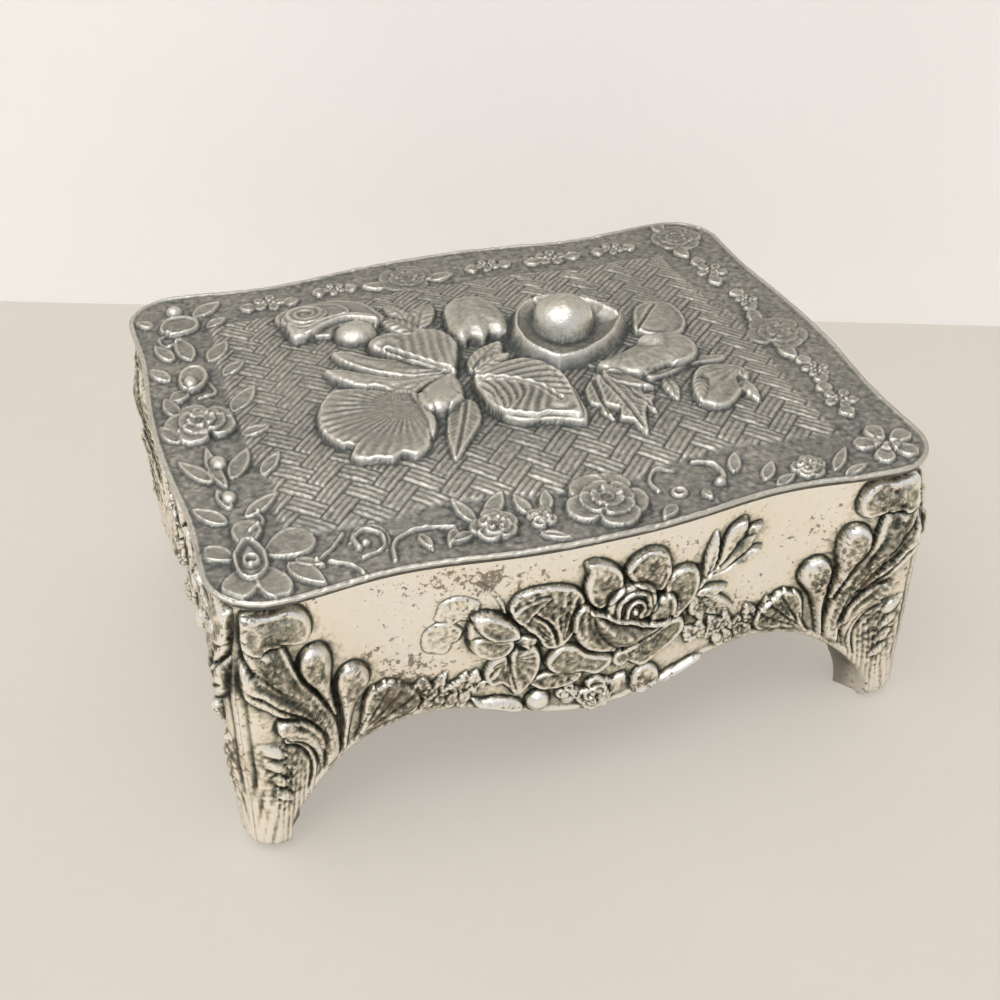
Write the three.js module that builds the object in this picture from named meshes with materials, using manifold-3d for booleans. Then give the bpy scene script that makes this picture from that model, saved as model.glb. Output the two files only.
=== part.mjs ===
// A footed trinket box of cast metal with a hinged lid, in millimetres, +Z up.
// Origin: on the table under the middle of the box. +X runs along the length, the front faces -Y.
import * as THREE from 'three';
import { mergeVertices } from 'three/addons/utils/BufferGeometryUtils.js';
import Module from 'manifold-3d';

const wasm = await Module();
wasm.setup();

// Driving dimensions of the lid and the body
const length = 100;
const width = 80.4;
const rimHeight = 43.4;
const lidCorner = 7.85;
const bodyCorner = 2.5;
const leastCorner = 1.0;
const lidThickness = 1.8;
const lidRise = 1.4;
const rimBead = 0.45;
const overhang = 2.4;
const wallThickness = 2.0;
const seamGap = 0.3;
const fitGap = 0.3;

// The serpentine edge: how far the middle swells and the flanks draw in
const frontSwell = 0.9;
const frontHollow = 1.75;
const sideSwell = 0.92;
const sideHollow = 0.65;
const waveSkewShare = 1.35;

// Legs, arches and apron
const archHeight = 16.1;
const apronHeight = 11.6;
const frontFootWidth = 3.4;
const sideFootWidth = 6.4;
const frontArchReach = 25;
const sideArchReach = 22;
const kneeDepth = 2.2;
const kneeDrop = 12;
const kneeReach = 16;
const toeRadius = 3;
const lipRadius = 0.7;
const footExtra = 1.8;
const footExtraHeight = 13;

// Floor and lining
const baseThickness = 1.2;
const baseLift = 0.6;
const liningThickness = 0.9;
const liningDrop = 1.2;
const cardThickness = 0.8;
const padThickness = 1.6;
const padCrown = 0.9;
const padCorner = 0.5;
const padMidShare = 0.7;
const padMidHeightShare = 0.75;

// Hinge
const knuckleRadius = 1.05;
const boreRadius = 0.7;
const pinRadius = 0.4;
const knuckleLength = 3.0;
const knuckleCount = 5;
const knuckleSides = 16;
const pinSides = 12;
const pinHeadRadius = 0.9;
const pinHeadLength = 0.4;

// Relief on the lid and the walls
const reliefBevel = 0.3;
const reliefRoot = 1;
const reliefReach = 3;
const shoulderShare = 0.6;
const sprayLength = 64;
const sprayRise = 4;
const budRadius = 4.1;
const budLift = 2.3;
const farBallRadius = 3.5;
const farBallHeight = 2.7;
const cupRise = 3.4;
const cupFloor = 1.5;
const borderRadius = 5;
const borderRise = 1.2;
const wallRise = 2;
const sideRoseShift = 2.5;
const sideRoseAlongShare = 0.8;
const sideRoseUpShare = 0.95;
const sideLegShare = 0.94;

// Heights that follow from the sizes above
const lidUnderside = rimHeight - lidThickness;
const wallTop = lidUnderside - fitGap;
const wallField = wallTop - archHeight;
const baseBottom = archHeight + baseLift;
const baseTop = baseBottom + baseThickness;
const cardBottom = baseTop + fitGap;
const cardTop = cardBottom + cardThickness;
const padBottom = cardTop + fitGap;
const liningOuter = wallThickness + fitGap;
const liningInner = liningOuter + liningThickness;
const padInset = liningInner + fitGap;

// The four sides of an outline: turn from the front, half length, distance from the middle,
// the wave of the edge, and the leg that stands at each end
function outlineSides(inset, corner) {
  const front = {
    turn: 0, half: length / 2 - inset, reach: width / 2 - inset, corner,
    swell: frontSwell, hollow: frontHollow, footWidth: frontFootWidth, archReach: frontArchReach,
  };
  const right = {
    turn: 1, half: front.reach, reach: front.half, corner,
    swell: sideSwell, hollow: sideHollow, footWidth: sideFootWidth, archReach: sideArchReach,
  };
  return { front, right, rear: { ...front, turn: 2 }, left: { ...right, turn: 3 } };
}

const lidSides = outlineSides(0, lidCorner);
const bodySides = outlineSides(overhang, bodyCorner);

const silver = new THREE.MeshStandardMaterial({ color: 0xe1d2be, roughness: 0.32, metalness: 1 });
const pewter = new THREE.MeshStandardMaterial({ color: 0x8c897d, roughness: 0.42, metalness: 1 });
const sheet = new THREE.MeshStandardMaterial({ color: 0xb9b4a8, roughness: 0.45, metalness: 1 });
const steel = new THREE.MeshStandardMaterial({ color: 0x9a9a98, roughness: 0.35, metalness: 1 });
const velvet = new THREE.MeshStandardMaterial({ color: 0x6b1420, roughness: 0.95, metalness: 0 });
const card = new THREE.MeshStandardMaterial({ color: 0x9b8565, roughness: 0.9, metalness: 0 });

const smooth = (t) => {
  const c = Math.min(1, Math.max(0, t));
  return c * c * (3 - 2 * c);
};

const straightHalf = (side) => side.half - side.corner;
const sideEnd = (side) => straightHalf(side) + side.corner * Math.PI / 4;

// How far the rim stands out of a straight edge at place u, from -1 to 1 along it
function edgeWave(side, u) {
  const w = Math.PI * Math.abs(u) ** waveSkewShare;
  return side.swell * (1 + Math.cos(w)) / 2 - side.hollow * (1 - Math.cos(2 * w)) / 2;
}

// A point of an outline, s along the side from its middle, moved inward by inset
function edgePoint(side, s, inset, z) {
  const run = straightHalf(side);
  const radius = Math.max(side.corner - inset, leastCorner);
  const innerRun = side.half - inset - radius;
  const angle = Math.max(0, Math.abs(s) - run) / side.corner;
  let along = s * innerRun / run;
  let out = side.reach - inset;
  if (angle > 0) {
    along = Math.sign(s) * (innerRun + radius * Math.sin(angle));
    out -= radius * (1 - Math.cos(angle));
  } else {
    out += edgeWave(side, s / run);
  }
  const turn = side.turn * Math.PI / 2;
  const x = along * Math.cos(turn) + out * Math.sin(turn);
  const y = along * Math.sin(turn) - out * Math.cos(turn);
  return new THREE.Vector3(x, y, z);
}

// Places along half a side, from the seam at the corner to the middle of the side:
// the foot, a quarter ellipse up the arch and a cosine down to the apron
function footToMiddle(side, archSteps, apronSteps) {
  const places = [{ d: seamGap / 2, z: 0 }, { d: side.footWidth / 2, z: 0 }];
  const reach = side.archReach - side.footWidth;
  for (let i = 0; i <= archSteps; i += 1) {
    const phi = Math.PI / 2 * i / archSteps;
    places.push({ d: side.archReach - reach * Math.cos(phi), z: archHeight * Math.sin(phi) });
  }
  for (let i = 1; i <= apronSteps; i += 1) {
    const u = i / apronSteps;
    const fall = (1 - Math.cos(Math.PI * u)) / 2;
    const d = side.archReach + (sideEnd(side) - side.archReach) * u;
    places.push({ d, z: archHeight - (archHeight - apronHeight) * fall });
  }
  return places;
}

// A closed body between two matching grids of points, its outside and its inside
function shellGeometry(outer, inner) {
  const rows = outer[0].length;
  const points = [...outer.flat(), ...inner.flat()];
  const shift = outer.length * rows;
  const triangles = [];
  const quad = (a, b, c, d) => triangles.push(a, b, c, a, c, d);
  const at = (i, j) => i * rows + j;
  for (let i = 0; i < outer.length - 1; i += 1) {
    for (let j = 0; j < rows - 1; j += 1) {
      quad(at(i, j), at(i + 1, j), at(i + 1, j + 1), at(i, j + 1));
      quad(shift + at(i, j), shift + at(i, j + 1), shift + at(i + 1, j + 1), shift + at(i + 1, j));
    }
    for (const [j, flip] of [[0, false], [rows - 1, true]]) {
      const [a, b] = flip ? [at(i + 1, j), at(i, j)] : [at(i, j), at(i + 1, j)];
      quad(a, shift + a, shift + b, b);
    }
  }
  for (let j = 0; j < rows - 1; j += 1) {
    for (const [i, flip] of [[0, true], [outer.length - 1, false]]) {
      const [a, b] = flip ? [at(i, j + 1), at(i, j)] : [at(i, j), at(i, j + 1)];
      quad(a, shift + a, shift + b, b);
    }
  }
  return indexed(points, triangles);
}

// A closed body from rings of points stacked from a pole below to a pole above
function ringGeometry(rings, poleBelow, poleAbove) {
  const count = rings[0].length;
  const points = [...rings.flat(), poleBelow, poleAbove];
  const below = points.length - 2;
  const above = points.length - 1;
  const triangles = [];
  for (let k = 0; k < count; k += 1) {
    const n = (k + 1) % count;
    triangles.push(below, n, k);
    for (let r = 0; r < rings.length - 1; r += 1) {
      const low = r * count;
      const high = low + count;
      triangles.push(low + k, low + n, high + n, low + k, high + n, high + k);
    }
    const last = (rings.length - 1) * count;
    triangles.push(last + k, last + n, above);
  }
  return indexed(points, triangles);
}

function indexed(points, triangles) {
  const geometry = new THREE.BufferGeometry();
  const flat = points.flatMap((p) => [p.x, p.y, p.z]);
  geometry.setAttribute('position', new THREE.Float32BufferAttribute(flat, 3));
  geometry.setIndex(triangles);
  return geometry;
}

function toSolid(geometry) {
  const bare = geometry.clone();
  bare.deleteAttribute('normal');
  bare.deleteAttribute('uv');
  const merged = mergeVertices(bare);
  return new wasm.Manifold(new wasm.Mesh({
    numProp: 3,
    vertProperties: Float32Array.from(merged.attributes.position.array),
    triVerts: Uint32Array.from(merged.index.array),
  }));
}

function toGeometry(solid) {
  const mesh = solid.getMesh();
  const geometry = new THREE.BufferGeometry();
  geometry.setAttribute('position', new THREE.BufferAttribute(mesh.vertProperties, 3));
  geometry.setIndex(new THREE.BufferAttribute(mesh.triVerts, 1));
  geometry.computeVertexNormals();
  return geometry;
}

const bossSides = 10;
const bossBands = 5;

// A rounded boss with half sizes along, across and up
function boss(radii) {
  const geometry = new THREE.SphereGeometry(1, bossSides, bossBands);
  geometry.rotateX(Math.PI / 2);
  geometry.scale(radii.x, radii.y, radii.z);
  return geometry;
}

// An outline moved inward, less so at its sharp tips
const tipShare = 0.6;

function insetOutline(points, distance) {
  const count = points.length;
  return points.map((point, k) => {
    const into = point.clone().sub(points[(k + count - 1) % count]).normalize();
    const away = points[(k + 1) % count].clone().sub(point).normalize();
    const inward = new THREE.Vector2(-into.y - away.y, into.x + away.x).normalize();
    const spread = inward.dot(new THREE.Vector2(-into.y, into.x));
    return point.clone().addScaledVector(inward, distance / Math.max(tipShare, spread));
  });
}

// A flat ornament with a bevelled edge. place puts a point of the outline, lifted off the
// ground, into space
function ornament(outline, rise, place) {
  const points = outline.map(([x, y]) => new THREE.Vector2(x, y));
  if (THREE.ShapeUtils.isClockWise(points)) {
    points.reverse();
  }
  const inner = insetOutline(points, reliefBevel);
  const rings = [
    points.map((p) => place(p, -reliefRoot)),
    points.map((p) => place(p, rise * shoulderShare)),
    inner.map((p) => place(p, rise)),
  ];
  const count = points.length;
  const triangles = [];
  for (const [a, b, c] of THREE.ShapeUtils.triangulateShape(points, [])) {
    triangles.push(a, c, b, 2 * count + a, 2 * count + b, 2 * count + c);
  }
  for (let k = 0; k < count; k += 1) {
    const n = (k + 1) % count;
    for (const low of [0, count]) {
      const high = low + count;
      triangles.push(low + k, low + n, high + n, low + k, high + n, high + k);
    }
  }
  return indexed(rings.flat(), triangles);
}

function union(pieces) {
  return pieces.map(toSolid).reduce((sum, solid) => sum.add(solid));
}

// How much of the leg a place belongs to, from 1 at the seam to 0 past the knee
const cornerPart = (side, s) => smooth(1 - (sideEnd(side) - Math.abs(s)) / kneeReach);

// The outer face stands further out at the corners, below the knee
const outerInset = (side, s, z) => (
  -kneeDepth * cornerPart(side, s) * smooth((wallTop - z) / kneeDrop)
);

// The inner face is flat above the floor, and the feet are thicker
const innerInset = (side, s, z) => (
  wallThickness + footExtra * cornerPart(side, s) * smooth((footExtraHeight - z) / footExtraHeight * 2)
);

// The lower edge is rounded, most of all at the toe
function lipInset(side, s, rise) {
  const d = sideEnd(side) - Math.abs(s);
  const toe = smooth(2 - d / side.footWidth);
  const radius = lipRadius + (toeRadius - lipRadius) * toe;
  const h = Math.min(1, rise / radius);
  return radius * (1 - Math.sqrt(1 - (1 - h) ** 2));
}

// One cast wall with its two half legs. The relief ends where the wall ends
function wallGeometry(side, relief) {
  const half = footToMiddle(side, 5, 3);
  const end = sideEnd(side);
  const columns = [
    ...half.map((p) => ({ s: p.d - end, z: p.z })),
    ...half.slice(0, -1).reverse().map((p) => ({ s: end - p.d, z: p.z })),
  ];
  const rowShares = [0, 0.02, 0.07, 0.35, 0.7, 0.86, 1];
  const grid = (insetAt) => columns.map(({ s, z }) => rowShares.map((share) => {
    const height = z + (wallTop - z) * share;
    return edgePoint(side, s, insetAt(s, height, height - z), height);
  }));
  const face = (s, z, rise) => outerInset(side, s, z) + lipInset(side, s, rise);
  const outer = grid(face);
  const inner = grid((s, z) => innerInset(side, s, z));
  const front = grid((s, z, rise) => face(s, z, rise) - reliefReach);
  const back = grid((s, z, rise) => face(s, z, rise) + reliefRoot);
  const bounds = toSolid(shellGeometry(front, back));
  const solid = toSolid(shellGeometry(outer, inner));
  return toGeometry(solid.add(union(relief).intersect(bounds)));
}

// Flat ornaments on a wall. toWall gives the place along and the height of an outline's point
function wallOrnaments(side, shares, toWall) {
  const place = (p, lift) => edgePoint(side, p.x, outerInset(side, p.x, p.y) - lift, p.y);
  return shares.map(({ rise, outline }) => ornament(outline.map(toWall), rise * wallRise, place));
}

// Round bosses on a wall: place, radius and height, as shares
function wallBosses(side, shares, toWall) {
  return shares.map(([along, up, radius, rise]) => {
    const [s, z] = toWall([along, up]);
    const place = edgePoint(side, s, outerInset(side, s, z), z);
    const half = radius * wallField;
    const piece = boss(new THREE.Vector3(half, half, rise * wallRise));
    piece.rotateX(Math.PI / 2);
    piece.rotateZ(side.turn * Math.PI / 2);
    piece.translate(place.x, place.y, place.z);
    return piece;
  });
}

// The rose in the middle of a wall with the bud and leaf beside it, as shares of the height
// between the arch and the lid
const roseShares = [
  // textured leaf
  {
    rise: 0.47,
    outline: [
      [-0.497, 0.640], [-0.469, 0.725], [-0.320, 0.768], [-0.136, 0.711], [-0.086, 0.626],
      [-0.150, 0.413], [-0.221, 0.349], [-0.351, 0.442], [-0.448, 0.566],
    ],
  },
  // left bud
  {
    rise: 0.82,
    outline: [
      [-0.717, 0.512], [-0.692, 0.626], [-0.604, 0.651], [-0.516, 0.609], [-0.451, 0.538],
      [-0.445, 0.459], [-0.469, 0.392], [-0.533, 0.349], [-0.621, 0.354], [-0.692, 0.410],
    ],
  },
  // rose, petal on the upper left
  {
    rise: 0.62,
    outline: [
      [-0.094, 0.864], [-0.030, 0.874], [0.055, 0.827], [0.112, 0.756], [0.122, 0.666],
      [-0.001, 0.552], [-0.068, 0.600], [-0.094, 0.697],
    ],
  },
  // rose, petal on the upper right
  {
    rise: 0.62,
    outline: [
      [0.130, 0.753], [0.173, 0.831], [0.261, 0.870], [0.346, 0.846], [0.391, 0.768],
      [0.394, 0.661], [0.346, 0.580], [0.176, 0.675],
    ],
  },
  // rose, petal on the right
  {
    rise: 0.60,
    outline: [
      [0.363, 0.583], [0.395, 0.661], [0.480, 0.692], [0.558, 0.657], [0.584, 0.566],
      [0.558, 0.467], [0.495, 0.396], [0.434, 0.354],
    ],
  },
  // rose, petal on the lower left
  {
    rise: 0.50,
    outline: [
      [-0.295, 0.264], [-0.228, 0.340], [-0.143, 0.331], [-0.058, 0.255], [0.084, 0.187],
      [0.055, 0.130], [-0.016, 0.094], [-0.164, 0.130], [-0.242, 0.155],
    ],
  },
  // rose, petal on the lower right
  {
    rise: 0.50,
    outline: [
      [0.133, 0.187], [0.211, 0.250], [0.296, 0.289], [0.402, 0.345], [0.485, 0.345],
      [0.505, 0.272], [0.438, 0.187], [0.264, 0.076], [0.190, 0.113],
    ],
  },
  // rose, inner petal on the left
  {
    rise: 0.80,
    outline: [
      [-0.147, 0.569], [-0.086, 0.609], [-0.044, 0.555], [-0.030, 0.442], [0.034, 0.325],
      [0.105, 0.243], [0.020, 0.249], [-0.079, 0.293], [-0.139, 0.382], [-0.157, 0.484],
    ],
  },
  // rose, bowl
  {
    rise: 0.95,
    outline: [
      [0.020, 0.527], [0.045, 0.623], [0.133, 0.680], [0.240, 0.668], [0.300, 0.609],
      [0.325, 0.527], [0.286, 0.442], [0.204, 0.420], [0.112, 0.435],
    ],
  },
  // rose, inner petal on the right
  {
    rise: 0.90,
    outline: [
      [0.296, 0.481], [0.343, 0.544], [0.405, 0.548], [0.434, 0.484], [0.420, 0.410],
      [0.353, 0.354], [0.278, 0.371],
    ],
  },
  // rose, front petal
  {
    rise: 1.00,
    outline: [
      [-0.062, 0.558], [0.006, 0.529], [0.133, 0.453], [0.289, 0.392], [0.395, 0.371],
      [0.353, 0.314], [0.268, 0.272], [0.183, 0.240], [0.102, 0.250], [0.027, 0.300],
      [-0.026, 0.378],
    ],
  },
  // right bud
  {
    rise: 0.65,
    outline: [
      [0.665, 0.555], [0.707, 0.725], [0.757, 0.853], [0.835, 0.892], [0.927, 0.831],
      [0.962, 0.789], [0.913, 0.711], [0.967, 0.657], [0.771, 0.569],
    ],
  },
];

// More buds and leaves of the long walls
const flowerShares = [
  // low petals
  {
    rise: 0.25,
    outline: [
      [-0.916, 0.746], [-0.760, 0.760], [-0.696, 0.654], [-0.753, 0.491], [-0.859, 0.413],
      [-0.986, 0.477],
    ],
  },
  // leaf under the left bud
  {
    rise: 0.57,
    outline: [
      [-0.507, 0.345], [-0.448, 0.425], [-0.342, 0.357], [-0.323, 0.272], [-0.388, 0.113],
      [-0.459, 0.056], [-0.597, 0.147], [-0.632, 0.208], [-0.615, 0.286],
    ],
  },
  // leaf beside the right bud
  {
    rise: 0.47,
    outline: [
      [0.629, 0.555], [0.615, 0.711], [0.669, 0.850], [0.686, 0.725], [0.660, 0.569],
    ],
  },
  // leaves under the right bud
  {
    rise: 0.38,
    outline: [
      [0.558, 0.449], [0.629, 0.484], [0.771, 0.470], [0.835, 0.286], [0.721, 0.264],
      [0.629, 0.243], [0.558, 0.307],
    ],
  },
  // rope on the left
  {
    rise: 0.45,
    outline: [
      [-0.700, 0.073], [-0.590, 0.056], [-0.505, 0.042], [-0.417, -0.029], [-0.469, -0.054],
      [-0.582, -0.019], [-0.668, 0.014],
    ],
  },
  // petal on the apron
  {
    rise: 0.42,
    outline: [
      [0.204, -0.012], [0.232, 0.045], [0.303, 0.059], [0.360, 0.016], [0.374, -0.054],
      [0.325, -0.104], [0.247, -0.111],
    ],
  },
  // rope on the right
  {
    rise: 0.35,
    outline: [
      [0.360, -0.069], [0.417, -0.029], [0.502, -0.012], [0.646, 0.002], [0.601, -0.029],
      [0.502, -0.057],
    ],
  },
];

// Ball, bud and rose on the apron
const apronShares = [
  [-0.337, -0.015, 0.069, 0.85],
  [-0.164, -0.012, 0.067, 0.60],
  [-0.006, -0.052, 0.107, 0.75],
];

// The leaves of half a leg: distance from the seam and height above the arch
const legShares = [
  // fan leaf
  {
    rise: 0.47,
    outline: [
      [0.468, -0.222], [0.594, 0.036], [0.651, 0.231], [0.757, 0.262], [0.849, 0.190],
      [0.902, 0.080], [0.848, -0.008], [0.762, -0.068], [0.672, -0.135], [0.556, -0.228],
    ],
  },
  // outer lobe
  {
    rise: 0.68,
    outline: [
      [0.452, 0.367], [0.475, 0.434], [0.522, 0.467], [0.585, 0.450], [0.634, 0.318],
      [0.593, 0.247], [0.514, 0.058], [0.461, -0.221], [0.445, -0.180], [0.461, 0.237],
    ],
  },
  // inner lobe
  {
    rise: 0.75,
    outline: [
      [0.264, 0.561], [0.277, 0.643], [0.329, 0.684], [0.394, 0.672], [0.435, 0.600],
      [0.439, 0.499], [0.427, 0.392], [0.445, 0.159], [0.387, 0.275],
    ],
  },
  // long leaf
  {
    rise: 0.62,
    outline: [
      [0.026, 0.867], [0.109, 0.808], [0.192, 0.767], [0.247, 0.587], [0.370, 0.307],
      [0.426, 0.173], [0.443, -0.106], [0.405, -0.242], [0.291, -0.522], [0.332, -0.332],
      [0.359, -0.174], [0.357, -0.028], [0.242, 0.241], [0.077, 0.560],
    ],
  },
  // second leaf
  {
    rise: 0.60,
    outline: [
      [0.019, 0.713], [0.157, 0.498], [0.295, 0.309], [0.346, 0.195], [0.371, -0.031],
      [0.343, -0.006], [0.292, 0.118], [0.152, 0.302], [0.069, 0.398], [0.022, 0.530],
    ],
  },
  // top lobe
  {
    rise: 0.75,
    outline: [
      [0.022, 0.822], [0.015, 0.952], [0.070, 0.968], [0.159, 0.955], [0.254, 0.960],
      [0.324, 0.914], [0.356, 0.832], [0.345, 0.753], [0.206, 0.754], [0.064, 0.747],
    ],
  },
  // curl
  {
    rise: 0.72,
    outline: [
      [0.125, 0.273], [0.178, 0.286], [0.243, 0.256], [0.305, 0.188], [0.361, -0.029],
      [0.331, -0.149], [0.317, -0.072], [0.229, 0.098], [0.165, 0.143],
    ],
  },
  // lower leaf
  {
    rise: 0.40,
    outline: [
      [0.034, 0.115], [0.083, 0.138], [0.212, 0.052], [0.261, -0.038], [0.274, -0.151],
      [0.247, -0.272], [0.195, -0.386], [0.132, -0.479], [0.076, -0.500], [0.027, -0.176],
    ],
  },
];

// The flowers in the middle of a wall. The short sides carry only the rose, closer together
function flowerRelief(side) {
  if (side.turn % 2 === 0) {
    const toWall = ([u, v]) => [u * wallField, archHeight + v * wallField];
    return [
      ...wallOrnaments(side, [...roseShares, ...flowerShares], toWall),
      ...wallBosses(side, apronShares, toWall),
    ];
  }
  const toWall = ([u, v]) => [
    (u * wallField - sideRoseShift) * sideRoseAlongShare,
    archHeight + v * wallField * sideRoseUpShare,
  ];
  return wallOrnaments(side, roseShares, toWall);
}

// The leaf clusters on both legs of a side, mirrored about its middle
function legRelief(side) {
  const end = sideEnd(side);
  const span = wallField * (side.turn % 2 === 0 ? 1 : sideLegShare);
  return [-1, 1].flatMap((sign) => {
    const toWall = ([d, v]) => [sign * (end - d * span), archHeight + v * wallField];
    return wallOrnaments(side, legShares, toWall);
  });
}

// Places round the whole outline, a few in each corner and the rest spread along the sides
function outlinePlaces(sides, straightSteps, cornerSteps) {
  return Object.values(sides).flatMap((side) => {
    const run = straightHalf(side);
    const bend = sideEnd(side) - run;
    const places = [];
    for (let i = 0; i < cornerSteps; i += 1) {
      places.push(-sideEnd(side) + bend * i / cornerSteps);
    }
    for (let i = 0; i <= straightSteps; i += 1) {
      places.push(run * (2 * i / straightSteps - 1));
    }
    for (let i = 1; i < cornerSteps; i += 1) {
      places.push(run + bend * i / cornerSteps);
    }
    return places.map((s) => ({ side, s }));
  });
}

// A plate of the box's outline: each ring has an inset, a share of the way out and a height
function plateGeometry(sides, profile, poleBelow, poleAbove) {
  const places = outlinePlaces(sides, 10, 2);
  const rings = profile.map(({ inset, share, z }) => places.map(({ side, s }) => {
    const p = edgePoint(side, s, inset, z);
    return new THREE.Vector3(p.x * share, p.y * share, z);
  }));
  const pole = (z) => new THREE.Vector3(0, 0, z);
  return ringGeometry(rings, pole(poleBelow), pole(poleAbove));
}

function flatPlate(sides, inset, bottom, top) {
  const profile = [{ inset, share: 1, z: bottom }, { inset, share: 1, z: top }];
  return plateGeometry(sides, profile, bottom, top);
}

// The field inside the border rises gently towards the middle
const fieldShare = 0.84;
const domeAt = (share) => lidRise * smooth((fieldShare - share) / fieldShare * 2);

// The lid's plate: a thin shell with a beaded rim and a gently raised field
function lidPlate() {
  const underShares = [0.3, 0.6, fieldShare];
  const topShares = [fieldShare, 0.6, 0.3];
  const profile = [
    ...underShares.map((share) => ({ inset: 0, share, z: lidUnderside + domeAt(share) })),
    { inset: rimBead, share: 1, z: lidUnderside },
    { inset: 0, share: 1, z: lidUnderside + rimBead },
    { inset: 0, share: 1, z: rimHeight - rimBead },
    { inset: rimBead, share: 1, z: rimHeight },
    { inset: 3 * rimBead, share: 1, z: rimHeight },
    { inset: 4 * rimBead, share: 1, z: rimHeight - rimBead },
    ...topShares.map((share) => ({ inset: 0, share, z: rimHeight - rimBead + domeAt(share) })),
  ];
  return plateGeometry(lidSides, profile, lidUnderside + lidRise, rimHeight - rimBead + lidRise);
}

// The height of the lid's field at a place
function fieldAt(x, y) {
  const share = Math.max(Math.abs(x) / (length / 2), Math.abs(y) / (width / 2));
  return rimHeight - rimBead + domeAt(share);
}

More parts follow.
